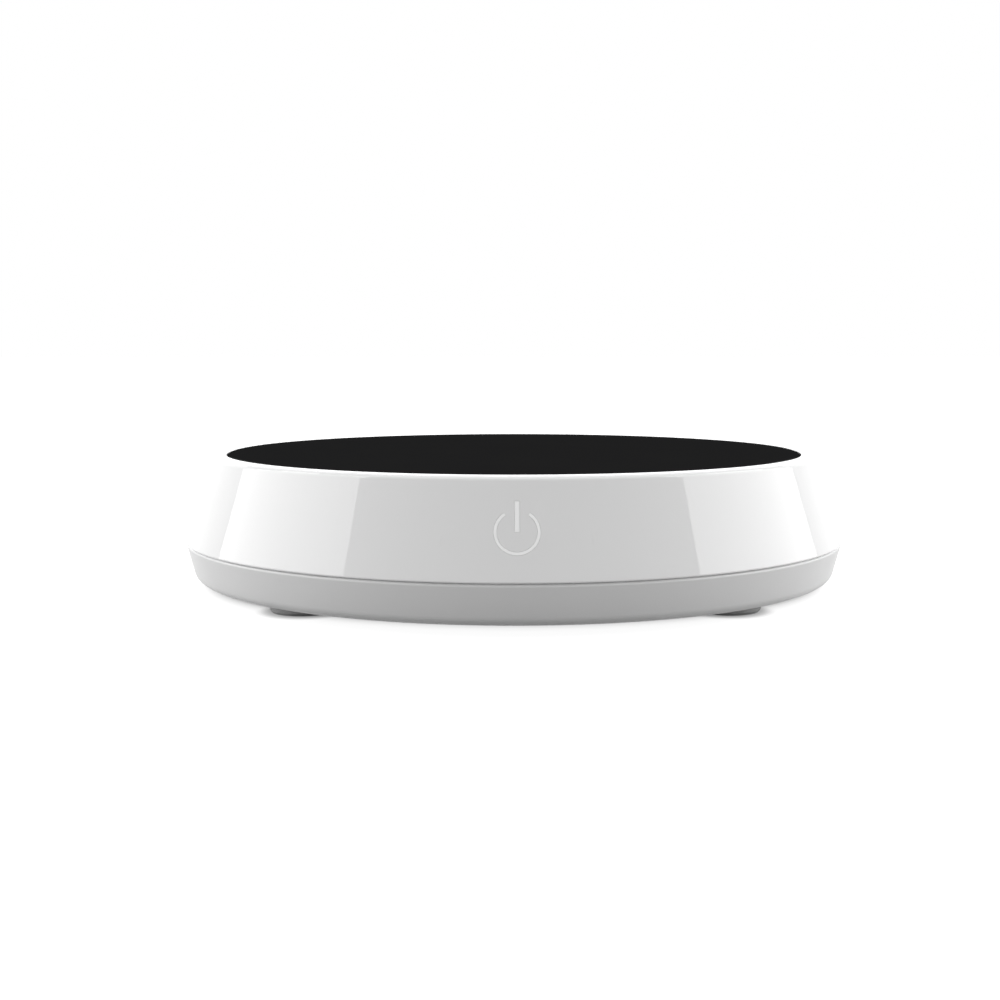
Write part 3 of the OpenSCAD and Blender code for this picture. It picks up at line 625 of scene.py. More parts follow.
def pick(piece, test):
    """In edit mode, select the faces whose normal passes a test."""
    edit(piece, "DESELECT")
    bpy.ops.mesh.select_mode(type="FACE")
    shape = bmesh.from_edit_mesh(piece.data)
    for face in shape.faces:
        face.select_set(test(face.normal))
    bmesh.update_edit_mesh(piece.data)


def narrow(piece, test, share):
    """Scale the faces whose normal passes a test about their middle, by a share for each axis."""
    pick(piece, test)
    bpy.ops.transform.resize(value=share)
    put_down()


def modify(piece, kind, **settings):
    """Add a modifier, set it and apply it."""
    modifier = piece.modifiers.new(kind, kind)
    for key, value in settings.items():
        setattr(modifier, key, value)
    only(piece)
    bpy.ops.object.modifier_apply(modifier=modifier.name)
    return piece


def soften(piece, width, segments=2):
    """Round every sharp edge, by a width in mm."""
    return modify(piece, "BEVEL", width=width * MM, segments=segments, limit_method="ANGLE",
                  angle_limit=SHARP)


def combine(piece, tool, operation="UNION"):
    """Boolean with a tool, which is used up. The slivers that it leaves are merged away."""
    modify(piece, "BOOLEAN", operation=operation, object=tool, solver="MANIFOLD")
    bpy.data.objects.remove(tool)
    edit(piece)
    bpy.ops.mesh.remove_doubles(threshold=SLIVER)
    bpy.ops.mesh.dissolve_degenerate(threshold=SLIVER)
    put_down()
    return piece


def cut(piece, tool):
    """Cut a tool's shape out of a piece."""
    return combine(piece, tool, "DIFFERENCE")


def join(*pieces, name=None):
    """Make several pieces one object, under the first one's name or a new one."""
    only(*pieces)
    bpy.ops.object.join()
    joined = bpy.context.object
    joined.name = name or joined.name
    return joined


print("helpers for editing ready")


# %% Blocks and turned pieces
def block(name, width, depth, low, high, x=0, y=0):
    """Upright block from height low to high, in mm."""
    place = Vector((x, y, (low + high) / 2)) * MM
    size = Vector((width, depth, high - low)) * MM
    return settle(start(bpy.ops.mesh.primitive_cube_add, name, size=1, location=place, scale=size))


def line(name, points):
    """Open chain of edges in the XZ plane through (x, z) points in mm. Stays in edit mode."""
    piece = start(bpy.ops.mesh.primitive_plane_add, name, size=MM)
    bpy.ops.object.mode_set(mode="EDIT")
    bpy.ops.mesh.select_mode(type="VERT")
    bpy.ops.mesh.merge(type="CENTER")
    here = Vector((0, 0, 0))
    for number, (x, z) in enumerate(points):
        there = Vector((x, 0, z)) * MM
        if number == 0:
            bpy.ops.transform.translate(value=there)
        else:
            extrude(there - here)
        here = there
    return piece


def turned(name, outline, steps=48):
    """Piece turned round the Z axis, from an outline of (radius, height) in mm that starts and ends
    on the axis or closes on itself."""
    piece = line(name, outline)
    bpy.ops.mesh.select_all(action="SELECT")
    bpy.ops.mesh.spin(steps=steps, angle=2 * math.pi, center=(0, 0, 0), axis=(0, 0, 1))
    weld()
    return piece


def cut_cross(piece, length, width, low, high, taper=None):
    """Cut two crossed slots into a piece. A taper makes the upper end of each smaller."""
    for turn in (0, math.pi / 2):
        slot = block("slot", length, width, low, high)
        if taper:
            narrow(slot, facing(UP), taper)
        slot.rotation_euler.z = turn
        cut(piece, slot)


print("helpers for shapes ready")


# %% Placing and handing in
SMOOTH_BELOW = math.radians(35)


def copy_of(piece, name, turn=0, at=(0, 0, 0)):
    """Copy with its own mesh, turned round Z by an angle and moved, both about the origin."""
    only(piece)
    bpy.ops.object.duplicate(linked=False)
    copy = bpy.context.object
    copy.name = name
    copy.matrix_world = Matrix.Translation(at) @ Matrix.Rotation(turn, 4, "Z")
    return settle(copy)


def group_of(piece, name, places):
    """One object made of copies of a piece at several places. The pattern piece is used up."""
    made = [copy_of(piece, name, at=place) for place in places]
    bpy.data.objects.remove(piece)
    return join(*made)


def hand_in(piece, material, slot, *stands_for, at=None):
    """Put a piece in its place by a matrix or a point, shade it, paint it and give it to the frame."""
    if at is not None:
        piece.matrix_world = at if isinstance(at, Matrix) else Matrix.Translation(at)
    settle(piece)
    bpy.ops.object.shade_smooth_by_angle(angle=SMOOTH_BELOW)
    piece.data.materials.clear()
    piece.data.materials.append(material)
    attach(piece, "root")
    if stands_for:
        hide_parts(*stands_for)
    print(f"{piece.name}: {len(piece.data.polygons)} faces")
    return piece


def base_of(name):
    """Middle of a CAD node's underside, in metres, and its size in mm."""
    low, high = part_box(name)
    return Vector(((low.x + high.x) / 2, (low.y + high.y) / 2, low.z)), (high - low) / MM


def middle_of(name):
    """Middle of a CAD node's box, in metres."""
    low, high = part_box(name)
    return (low + high) / 2


print("helpers for placing ready")

# %% [markdown]
# ## Feet
#
# Each foot is a moulded rubber pad, pushed into a pocket of the base. It could be a cylinder with a
# bevel, but a real pad is dished so that only a ring of it touches the table, because a flat face
# would rock and stick. That profile is a turned one: the outline is drawn once as a chain of edges
# and spun round the Z axis. One pad is modelled as a pattern, and the four feet are copies of it.

# %% Foot pads
FEET = ["foot_front_left", "foot_front_right", "foot_rear_left", "foot_rear_right"]
foot_size = base_of(FEET[0])[1]
r = foot_size.x / 2
foot_pattern = turned("foot_pattern", [
    (0, 0.5), (r * 0.28, 0.5), (r * 0.34, 0.35), (r * 0.6, 0.35), (r * 0.68, 0), (r * 0.86, 0),
    (r * 0.94, 0.1), (r, 0.55), (r, foot_size.z), (0, foot_size.z)
], steps=72)
soften(foot_pattern, 0.12)
for name in FEET:
    pad = copy_of(foot_pattern, name + "_pad")
    hand_in(pad, foot_rubber, "foot_rubber", name, at=base_of(name)[0])
bpy.data.objects.remove(foot_pattern)

# %% [markdown]
# ## Screws
#
# A screw is a turned head with a cross recess and a shank with a real thread. The thread is the
# classic one for a modeller: one ridge, drawn from root to crest to root over one pitch, is swept
# round and up by a Screw modifier, and the turns merge where they meet. Two bisect cuts close its
# ends. A Boolean with a pointed rod then gives it the taper of a self-tapping screw. One function
# makes all four kinds, since only their sizes differ.

# %% Screw
THREAD_DEPTH = 0.11
THREAD_PITCH = 0.32
THREAD_STEPS = 20


def screw(name, shank, length, head, height):
    """Screw with its head's seat at height 0, shank up and head below. Sizes are in mm, and shank
    and head are diameters."""
    crest = shank / 2
    root = crest * (1 - 2 * THREAD_DEPTH)
    pitch = shank * THREAD_PITCH
    thread = line(name + "_thread", [(root, -2 * pitch), (crest, -1.5 * pitch), (root, -pitch)])
    put_down()
    modify(thread, "SCREW", angle=2 * math.pi, screw_offset=pitch * MM, steps=THREAD_STEPS,
           render_steps=THREAD_STEPS, iterations=math.ceil(length / pitch) + 3)
    edit(thread)
    bpy.ops.mesh.remove_doubles(threshold=MERGE)
    for level, below in ((-height / 4, True), (length - 0.02, False)):
        bpy.ops.mesh.select_all(action="SELECT")
        bpy.ops.mesh.bisect(plane_co=(0, 0, level * MM), plane_no=(0, 0, 1), use_fill=True,
                            clear_inner=below, clear_outer=not below)
    face_outwards()
    rod = turned(name + "_rod", [
        (0, -height / 3), (head * 0.4, -height / 3), (head * 0.4, 0), (crest * 1.02, 0),
        (crest * 1.02, length - shank / 2), (shank / 8, length), (0, length)
    ], steps=32)
    combine(thread, rod, "INTERSECT")
    piece = turned(name, [
        (0, -height), (head * 0.2, -height), (head * 0.36, -height * 0.86), (head * 0.47, -height * 0.55),
        (head / 2, -height * 0.3), (head / 2, 0), (0, 0)
    ])
    cut_cross(piece, head * 0.62, head * 0.17, -height - 0.01, -height * 0.45, taper=(0.55, 0.7, 1))
    return combine(piece, thread)


def corners(name, inset):
    """The four places that lie inset mm inside the corners of a CAD node's box, in metres."""
    low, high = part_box(name)
    inset *= MM
    return [(x, y) for x in (low.x + inset, high.x - inset) for y in (low.y + inset, high.y - inset)]


print("screw builder ready")

# %% Screws of the case, the clamp plate and the control board
CASE_SCREW = {"shank": 2.8, "length": 11, "head": 5.5, "height": 1.8}
CLAMP_SCREW = {"shank": 2.2, "length": 4, "head": 4.18, "height": 1.2}
BOARD_SCREW = {"shank": 2.2, "length": 5, "head": 4.18, "height": 1.2}

for node, sizes, material, slot, up in (
    ("case_screws", CASE_SCREW, dark_steel, "dark_steel", True),
    ("clamp_screws", CLAMP_SCREW, plated_steel, "plated_steel", True),
    ("board_screws", BOARD_SCREW, plated_steel, "plated_steel", False),
):
    low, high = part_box(node)
    pattern = screw(node + "_pattern", **sizes)
    if up:
        seat = low.z + sizes["height"] * MM
    else:
        seat = high.z - sizes["height"] * MM
        pattern.rotation_euler.x = math.pi
        settle(pattern)
    places = [(x, y, seat) for x, y in corners(node, sizes["head"] / 2)]
    hand_in(group_of(pattern, node + "_set", places), material, slot, node)

# %% [markdown]
# ## Inlet
#
# The barrel inlet is a black moulded block with a round nose. The nose comes through the case, and
# its mouth is countersunk so that a plug finds its way in. Block and nose are joined by a Boolean,
# and the bore, the hole for the pin and the slot for the spring contact are cut out of them. It is
# modelled standing up, with the mouth on top, and then tipped so that the mouth looks backwards.

# %% Inlet housing
NOSE = {"radius": 4, "length": 2, "chamfer": 0.3}
BORE = {"radius": 3, "depth": 10, "lead_in": 0.35}
BACK_FACE = {"rim": 0.8, "hollow": 0.3}
PIN_HOLE_R = 0.94
CONTACT_SLOT_W = 1.8
PAST_BLOCK = -20


def looking_back(point):
    """Matrix that tips a piece until its top looks backwards, and moves it to a point."""
    return Matrix.Translation(point) @ Matrix.Rotation(-math.pi / 2, 4, "X")


housing_low, housing_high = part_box("jack_housing")
housing_size = (housing_high - housing_low) / MM
mouth = Vector((0, housing_high.y, (housing_low.z + housing_high.z) / 2))
nose_root = -NOSE["length"]

housing = block("inlet_housing", housing_size.x, housing_size.z, -housing_size.y, nose_root)
pick(housing, facing(-UP))
bpy.ops.mesh.inset(thickness=BACK_FACE["rim"] * MM)
bpy.ops.transform.translate(value=(0, 0, BACK_FACE["hollow"] * MM))
put_down()
soften(housing, 0.25)
r, chamfer = NOSE["radius"], NOSE["chamfer"]
nose = turned("nose", [
    (0, nose_root - 1), (r, nose_root - 1), (r, -chamfer), (r - chamfer, 0), (0, 0)
], steps=64)
combine(housing, nose)
r, depth, lead_in = BORE["radius"], BORE["depth"], BORE["lead_in"]
bore = turned("bore", [
    (0, 1), (r + lead_in, 1), (r + lead_in, 0), (r, -lead_in), (r, -depth), (0, -depth)
], steps=64)
cut(housing, bore)
cut(housing, turned("pin_hole", [
    (0, -depth + 1), (PIN_HOLE_R, -depth + 1), (PIN_HOLE_R, PAST_BLOCK), (0, PAST_BLOCK)
]))
slot_depth = housing_size.z / 2
slot_y = slot_depth / 2 + 0.01
cut(housing, block("contact_slot", CONTACT_SLOT_W, slot_depth, PAST_BLOCK, nose_root - 1, y=slot_y))
hand_in(housing, black_plastic, "black_plastic", "jack_housing", at=looking_back(mouth))

# %% [markdown]
# The centre pin is what a plug slides over, so it gets a round nose and the two crossed slits that
# make it springy. Behind the block it is bent down to its solder tail.

# %% Centre pin
PIN = {"radius": 1.05, "root": 0.84, "tip": -1.0, "slit": 0.25, "slit_depth": 4}
TAIL = {"width": 1.6, "thickness": 0.4}

r, root, tip = PIN["radius"], PIN["root"], PIN["tip"]
tail_w, tail_t = TAIL["width"], TAIL["thickness"]
pin_bottom = (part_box("jack_centre_pin")[0].y - mouth.y) / MM
tail_top = pin_bottom + tail_w
pin = turned("inlet_pin", [
    (0, tail_top), (root, tail_top), (root, -depth), (r, -depth), (r, tip - 0.8), (r * 0.86, tip - 0.3),
    (r * 0.5, tip - 0.05), (0, tip)
])
cut_cross(pin, r * 3, PIN["slit"], tip - PIN["slit_depth"], 1)
combine(pin, block("tail", tail_w, slot_depth, tail_top - 0.01, tail_top + tail_t, y=slot_depth / 2))
combine(pin, block("sole", tail_w, tail_t, pin_bottom, tail_top + 0.1, y=slot_depth - tail_t / 2))
hand_in(pin, nickel, "nickel", "jack_centre_pin", at=looking_back(mouth))

# %% [markdown]
# ## Seal and heat spreader
#
# In the CAD one is a plain ring and the other a plain disc. The silicone ring really has two lips
# with a groove between them, which is what seals against the glass. The aluminium disc is stamped,
# so one of its edges is rolled over by the tool and the other stays nearly sharp.

# %% Seal ring and spreader
SEAL_W = 3
place, size = base_of("glass_seal_ring")
outer = size.x / 2
inner = outer - SEAL_W
centre_r = (outer + inner) / 2
lip = size.z * 0.4
seal = turned("seal_ring", [
    (inner, 0), (outer, 0), (outer, size.z), (centre_r + 0.5, size.z), (centre_r + 0.3, size.z - lip),
    (centre_r - 0.3, size.z - lip), (centre_r - 0.5, size.z), (inner, size.z), (inner, 0)
], steps=144)
soften(seal, 0.05)
hand_in(seal, silicone, "silicone", "glass_seal_ring", at=place)

place, size = base_of("heat_spreader")
edge = size.x / 2
spreader = turned("heat_spreader_disc", [
    (0, 0), (edge - 0.7, 0), (edge - 0.25, 0.08), (edge, 0.5), (edge, size.z), (0, size.z)
], steps=144)
soften(spreader, 0.06, segments=1)
hand_in(spreader, aluminium, "aluminium_sheet", "heat_spreader", at=place)

# %% [markdown]
# ## Sensors
#
# The thermistor is a bead of black resin, and the thermal fuse a brass barrel that is rolled in
# behind its lead and closed with a dome of resin. Both are turned pieces.

# %% Thermistor and thermal fuse
place, size = base_of("thermistor")
r, length = size.x / 2, size.z
bead = turned("thermistor_bead", [
    (0, 0), (r * 0.35, 0), (r * 0.8, length * 0.06), (r, length * 0.18), (r, length * 0.75),
    (r * 0.86, length * 0.9), (r * 0.5, length * 0.98), (0, length)
])
hand_in(bead, black_plastic, "black_plastic", "thermistor", at=place)

place, size = base_of("thermal_fuse")
r, length = size.z / 2, size.y
barrel = turned("fuse_barrel", [
    (0, 0), (r * 0.3, 0), (r * 0.5, 0.35), (r * 0.8, 0.5), (r * 0.86, 0.35), (r, 0.6), (r, 1.5),
    (r * 0.93, 1.65), (r * 0.93, 1.95), (r, 2.1), (r, length - 0.5), (r * 0.9, length - 0.1),
    (r * 0.4, length), (0, length)
])
soften(barrel, 0.06, segments=1)
fuse_axis = middle_of("thermal_fuse")
fuse_axis.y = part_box("thermal_fuse")[0].y
hand_in(barrel, brass, "brass_barrel", "thermal_fuse", at=looking_back(fuse_axis))

# %% [markdown]
# ## Boards
#
# A circuit board is a sheet with routed round corners, so only its four upright edges are rounded:
# they are picked by their direction and bevelled in edit mode. Round each screw lies a tinned ring.
# The copper tracks are flat and lie under the green lacquer, so they belong to its finish.

# %% Board
BOARD_SCREW_INSET = 3.5
SCREW_PLAY = 0.2
RING = {"gap": 0.1, "width": 0.5, "height": 0.04}


def bevel_uprights(piece, width, segments, test=lambda middle: True):
    """Bevel the upright edges whose middle passes a test, by a width in mm."""
    edit(piece, "DESELECT")
    bpy.ops.mesh.select_mode(type="EDGE")
    shape = bmesh.from_edit_mesh(piece.data)
    for edge in shape.edges:
        first, second = (vertex.co for vertex in edge.verts)
        along = first - second
        upright = abs(along.z) > abs(along.x) + abs(along.y)
        edge.select_set(upright and test((first + second) / 2))
    bmesh.update_edit_mesh(piece.data)
    bpy.ops.mesh.bevel(offset=width * MM, segments=segments, affect="EDGES")
    put_down()


def board(name, width, depth, thickness, corner):
    """Board with round corners, lying on height 0."""
    piece = block(name, width, depth, 0, thickness)
    bevel_uprights(piece, corner, segments=6)
    return soften(piece, 0.06, segments=1)


def hole(piece, x, y, radius, thickness):
    """Hole through a board."""
    drill = turned("drill", [(0, -1), (radius, -1), (radius, thickness + 1), (0, thickness + 1)], steps=32)
    drill.location = Vector((x, y, 0)) * MM
    cut(piece, drill)


board_place, board_size = base_of("control_board")
control = board("control_board_sheet", board_size.x, board_size.y, board_size.z, corner=1.5)
hole_x = board_size.x / 2 - BOARD_SCREW_INSET
hole_y = board_size.y / 2 - BOARD_SCREW_INSET
holes = [(x, y) for x in (-hole_x, hole_x) for y in (-hole_y, hole_y)]
for x, y in holes:
    hole(control, x, y, BOARD_SCREW["shank"] / 2 + SCREW_PLAY, board_size.z)
hand_in(control, board_green, "board_green", "control_board", at=board_place)
inner = BOARD_SCREW["head"] / 2 + RING["gap"]
outer = inner + RING["width"]
ring = turned("ring", [
    (inner, 0), (outer, 0), (outer, RING["height"]), (inner, RING["height"]), (inner, 0)
], steps=40)
rings = group_of(ring, "control_board_rings", [Vector((x, y, board_size.z)) * MM for x, y in holes])
hand_in(rings, nickel, "nickel", at=board_place)

# %% [markdown]
# ## Components
#
# Surface-mounted components have a body and metal ends or legs. The gull-wing leg of a chip starts
# as a small block at the body, and its outer face is picked and extruded three times: outwards,
# down and outwards, and outwards again. An Array modifier repeats it along the side, and a half turn
# makes the other row.

# %% Main chip
def legs(name, count, pitch, width, reach, shoulder, thickness=0.2):
    """Row of gull-wing legs that start at y = 0 and end at y = -reach, on height 0."""
    leg = block(name, width, 0.4, shoulder - thickness, shoulder, x=-pitch * (count - 1) / 2, y=0.1)
    for share, drop in ((0.15, 0), (0.45, shoulder - thickness), (0.4, 0)):
        pick(leg, facing(-BACK))
        extrude(Vector((0, -reach * share, -drop)) * MM)
        put_down()
    soften(leg, 0.03, segments=1)
    return modify(leg, "ARRAY", count=count, use_relative_offset=False, use_constant_offset=True,
                  constant_offset_displace=(pitch * MM, 0, 0))


def two_rows(row, name, distance):
    """A row of legs on each long side of a body, distance mm apart at their roots."""
    other = copy_of(row, name, turn=math.pi, at=Vector((0, distance / 2, 0)) * MM)
    row.location.y = -distance / 2 * MM
    return join(settle(row), other)


DIMPLE = {"radius": 0.4, "depth": 0.06, "inset": 1.1}
place, size = base_of("main_chip")
chip = block("chip_body", size.x, size.y - 0.2, 0.12, size.z)
pick(chip, lambda normal: abs(normal.z) < 0.1)
bpy.ops.mesh.subdivide(number_cuts=1)
put_down()
narrow(chip, lambda normal: abs(normal.z) > 0.9, (0.965, 0.92, 1))
soften(chip, 0.08)
r, low, high = DIMPLE["radius"], size.z - DIMPLE["depth"], size.z + 1
dimple = turned("dimple", [(0, low), (r, low), (r, high), (0, high)], steps=32)
dimple.location = Vector((-size.x / 2 + DIMPLE["inset"], -size.y / 2 + DIMPLE["inset"], 0)) * MM
cut(chip, dimple)
hand_in(chip, black_plastic, "black_plastic", "main_chip", at=place)
row = legs("chip_legs", count=8, pitch=1.27, width=0.42, reach=1.0, shoulder=size.z * 0.5)
hand_in(two_rows(row, "chip_legs_back", size.y - 0.2), nickel, "nickel", at=place)

# %% [markdown]
# The power transistor has a metal tab under its back edge, which carries its heat into the board,
# and two legs at its front. Its sides slope a little, so that it leaves its mould: the top face is
# picked and shrunk.

# %% Power transistor
place, size = base_of("power_transistor")
body = block("transistor_body", size.x, size.y - 0.6, 0.05, size.z, y=-0.3)
narrow(body, facing(UP), (0.94, 0.93, 1))
soften(body, 0.1)
hand_in(body, black_plastic, "black_plastic", "power_transistor", at=place)
tab = block("transistor_tab", size.x * 0.8, 2.2, 0, 0.5, y=size.y / 2 - 0.55)
pick(tab, facing(BACK))
extrude((0, 0.3 * MM, 0))
bpy.ops.transform.resize(value=(0.85, 1, 1))
put_down()
soften(tab, 0.06, segments=1)
pair = legs("transistor_legs", count=2, pitch=size.x * 0.7, width=0.8, reach=1.2, shoulder=1.0,
            thickness=0.45)
pair.location.y = (-size.y / 2 + 0.05) * MM
hand_in(join(tab, pair), nickel, "nickel", at=place)

# %% [markdown]
# The inductor is a square of ferrite with cut corners and a round well, in which the top of its
# winding lies. The smoothing capacitors are aluminium cans, rolled in near the foot, on black bases
# with two cut corners that show which way round they go.

# %% Inductor
place, size = base_of("inductor")
ferrite_body = board("inductor_body", size.x, size.y, size.z, corner=1.6)
inner, outer, low, high = size.x * 0.24, size.x * 0.42, size.z - 0.5, size.z + 1
well = turned("well", [(inner, high), (inner, low), (outer, low), (outer, high), (inner, high)])
cut(ferrite_body, well)
hand_in(ferrite_body, ferrite, "ferrite", "inductor", at=place)
inner, outer, low, high = size.x * 0.25, size.x * 0.41, size.z - 0.6, size.z - 0.35
winding = turned("inductor_winding", [
    (inner, low), (outer, low), (outer, high), (size.x * 0.33, size.z - 0.15), (inner, high), (inner, low)
])
hand_in(winding, brass, "brass_barrel", at=place)

# %% Smoothing capacitors
BASE = {"play": 0.2, "height": 0.9, "corner": 1.2}
SCORE = {"width": 0.25, "depth": 0.06}
low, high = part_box("smoothing_capacitors")
r = (high.x - low.x) / MM / 2
height = (high.z - low.z) / MM
spots = [Vector(((low.x + high.x) / 2, y, low.z)) for y in (low.y + r * MM, high.y - r * MM)]
can = turned("can", [
    (0, 0.5), (r * 0.94, 0.5), (r * 0.97, 0.9), (r * 0.9, 1.2), (r * 0.9, 1.4), (r, 1.7),
    (r, height - 0.5), (r * 0.95, height - 0.12), (r * 0.84, height), (0, height)
], steps=64)
soften(can, 0.08)
cut_cross(can, r * 1.2, SCORE["width"], height - SCORE["depth"], height + 1)
hand_in(group_of(can, "capacitor_cans", spots), aluminium, "aluminium_sheet", "smoothing_capacitors")
side = r * 2 + BASE["play"]
base = block("base", side, side, 0, BASE["height"])
bevel_uprights(base, BASE["corner"], segments=1, test=lambda middle: middle.y < 0)
soften(base, 0.08)
hand_in(group_of(base, "capacitor_bases", spots), black_plastic, "black_plastic")

# %% [markdown]
# A chip resistor is a ceramic block with a cap of tin on each end. The caps are a little thicker
# than the block between them, so the two are modelled as separate pieces.

# %% Chip resistors
RESISTORS = 5
RESISTOR_W = 1.2
low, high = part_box("chip_resistors")
length = (high.y - low.y) / MM
height = (high.z - low.z) / MM
step = ((high.x - low.x) / MM - RESISTOR_W) / (RESISTORS - 1)
centres = [low.x + (RESISTOR_W / 2 + i * step) * MM for i in range(RESISTORS)]
spots = [Vector((x, (low.y + high.y) / 2, low.z)) for x in centres]
body = block("resistor_body", RESISTOR_W - 0.1, length - 0.2, 0.04, height - 0.03)
soften(body, 0.05, segments=1)
hand_in(group_of(body, "resistor_bodies", spots), black_plastic, "black_plastic", "chip_resistors")
ends = [block("end", RESISTOR_W, length * 0.22, 0, height, y=side * length * 0.39) for side in (-1, 1)]
ends = soften(join(*ends), 0.06)
hand_in(group_of(ends, "resistor_ends", spots), nickel, "nickel")

# %% [markdown]
# ## Headers
#
# A header on the board is a shroud, and the plug of the leads sits in it and stands out a little.
# The shroud starts as a block: its top face is inset by the wall's thickness and extruded down. A
# notch in the front wall keys the plug.

# %% Plug-in headers
SHROUD = {"wall": 0.5, "floor": 0.6, "share": 0.8}
PLUG_PLAY = 0.06
NOTCH_W = 1.2
KEY_W = 1


def hollow(piece, wall, depth):
    """Sink the top face of a piece inside a wall, by a depth. Both are in mm."""
    pick(piece, facing(UP))
    bpy.ops.mesh.inset(thickness=wall * MM)
    extrude((0, 0, -depth * MM))
    put_down()


wall, shroud_floor = SHROUD["wall"], SHROUD["floor"]
inside = wall + PLUG_PLAY
for node in ("heater_header", "sensor_header", "touch_header"):
    place, size = base_of(node)
    rim = size.z * SHROUD["share"]
    shroud = block(node + "_shroud", size.x, size.y, 0, rim)
    hollow(shroud, wall, rim - shroud_floor)
    cut(shroud, block("notch", NOTCH_W, wall * 2 + 0.2, rim * 0.45, rim + 1, y=-size.y / 2))
    soften(shroud, 0.08, segments=1)
    plug = block("plug", size.x - 2 * inside, size.y - 2 * inside, shroud_floor + PLUG_PLAY, size.z)
    combine(plug, block("key", KEY_W, wall, rim * 0.5, size.z - 0.5, y=-size.y / 2 + wall / 2 + 0.1))
    soften(plug, 0.12)
    hand_in(join(shroud, plug), nylon, "nylon_natural", node, at=place)

# %% [markdown]
# ## Leads
#
# A lead bends in a curve and never in a corner. Each is drawn as a chain of points, every inner
# corner is replaced by a short arc, and a curve object gives the chain its round section before it
# is made a mesh. The arc is a quadratic one, since it needs only the corner and the two places
# where the bend starts and ends.

# %% Lead
LONGEST_BEND = 0.45


def eased(points, bend, steps=8):
    """Points with each inner corner rounded over a length of bend, or over the longest share of a
    stretch that leaves room for its other bend."""
    smooth = [points[0]]
    for before, corner, after in zip(points, points[1:], points[2:]):
        back, on = before - corner, after - corner
        start_of_bend = corner + back.normalized() * min(bend, back.length * LONGEST_BEND)
        end_of_bend = corner + on.normalized() * min(bend, on.length * LONGEST_BEND)
        for i in range(steps + 1):
            t = i / steps
            smooth.append(start_of_bend * (1 - t) ** 2 + corner * 2 * t * (1 - t) + end_of_bend * t ** 2)
    return smooth + [points[-1]]


def lead(name, points, radius, bend):
    """Round lead through points in metres, as a closed mesh. Radius and bend in mm."""
    chain = eased(points, bend * MM)
    curve = bpy.data.curves.new(name, "CURVE")
    curve.dimensions = "3D"
    curve.bevel_depth = radius * MM
    curve.bevel_resolution = 3
    curve.use_fill_caps = True
    spline = curve.splines.new("POLY")
    spline.points.add(len(chain) - 1)
    for point, place in zip(spline.points, chain):
        point.co = (*place, 1)
    piece = bpy.data.objects.new(name, curve)
    scene.collection.objects.link(piece)
    only(piece)
    bpy.ops.object.convert(target="MESH")
    edit(piece)
    weld()
    return piece


print("lead builder ready")

# %% Heater leads
LEAD_R = 0.8
BOW = 0.25 * MM
low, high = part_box("heater_leads")
middle = (low + high) / 2
pair = []
for side, x in ((-1, low.x + LEAD_R * MM), (1, high.x - LEAD_R * MM)):
    root = Vector((x, middle.y, low.z))
    halfway = Vector((x + side * BOW, middle.y, middle.z))
    end = Vector((x, middle.y, high.z))
    pair.append(lead("heater_lead", [root, halfway, end], LEAD_R * 0.97, bend=4))
hand_in(join(*pair, name="heater_lead_pair"), red_silicone, "red_silicone", "heater_leads")

# %% Thermistor leads
SENSOR_LEAD_R = 0.45
level = middle_of("thermistor_leads").z
header_place, header_size = base_of("sensor_header")
bead_place, bead_size = base_of("thermistor")
pair = []
for side in (-1, 1):
    root = bead_place + Vector((side * bead_size.x / 4 * MM, 0, 0))
    end = header_place + Vector((side * header_size.x / 4, 0, header_size.z)) * MM
    points = [root, Vector((root.x, root.y, level)), Vector((end.x, end.y, level)), end]
    pair.append(lead("thermistor_lead", points, SENSOR_LEAD_R, bend=1.4))
hand_in(join(*pair, name="thermistor_lead_pair"), black_lead, "black_lead", "thermistor_leads")

# %% Fuse leads
FUSE_REACH = 2 * MM
fuse_low, fuse_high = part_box("thermal_fuse")
plug_place, plug_size = base_of("heater_header")
x, z = fuse_axis.x, fuse_axis.z
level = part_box("heater_clamp_plate")[0].z - 2 * SENSOR_LEAD_R * MM
entry = plug_place + Vector((-plug_size.x / 2, 0, plug_size.z / 2)) * MM
out_y = fuse_high.y + FUSE_REACH
long_lead = lead("fuse_lead", [
    Vector((x, fuse_high.y, z)), Vector((x, out_y, z)), Vector((x, out_y, level)),
    entry - Vector((FUSE_REACH, 0, 0)), entry
], SENSOR_LEAD_R, bend=1)
out_y = fuse_low.y - FUSE_REACH
short_lead = lead("fuse_lead", [
    Vector((x, fuse_low.y, z)), Vector((x, out_y, z)), Vector((x, out_y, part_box("fuse_leads")[1].z))
], SENSOR_LEAD_R, bend=1)
leads = join(long_lead, short_lead, name="fuse_lead_pair")
hand_in(leads, red_silicone, "red_silicone", "fuse_leads")

# %% [markdown]
# ## Touch key
#
# Behind the power symbol a small board is screwed to two posts of the front wall. It carries a
# spring that presses on the wall, which senses a finger through the plastic, and a small lamp that
# lights the symbol. They lean with the wall, so they are modelled flat and then placed by one
# matrix, which tips them by the wall's lean round the middle of the board.

# %% Touch board and its screws
WALL_LEAN = math.radians(17.2)
TOUCH_BOARD = {"width": 26, "height": 9, "thickness": 1}
TOUCH_SCREW = {"shank": 1.6, "length": 3.4, "head": 3.04, "height": 1.2}
tilt = Matrix.Rotation(math.pi / 2 - WALL_LEAN, 4, "X")
board_middle = middle_of("touch_board")
thickness = TOUCH_BOARD["thickness"]
on_wall = Matrix.Translation(board_middle) @ tilt @ Matrix.Translation((0, 0, -thickness / 2 * MM))
post_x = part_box("touch_board_screws")[1].x / MM - TOUCH_SCREW["head"] / 2
touch = board("touch_board_sheet", TOUCH_BOARD["width"], TOUCH_BOARD["height"], thickness, corner=1)
for x in (-post_x, post_x):
    hole(touch, x, 0, TOUCH_SCREW["shank"] / 2 + SCREW_PLAY, thickness)
hand_in(touch, board_green, "board_green", "touch_board", at=on_wall)
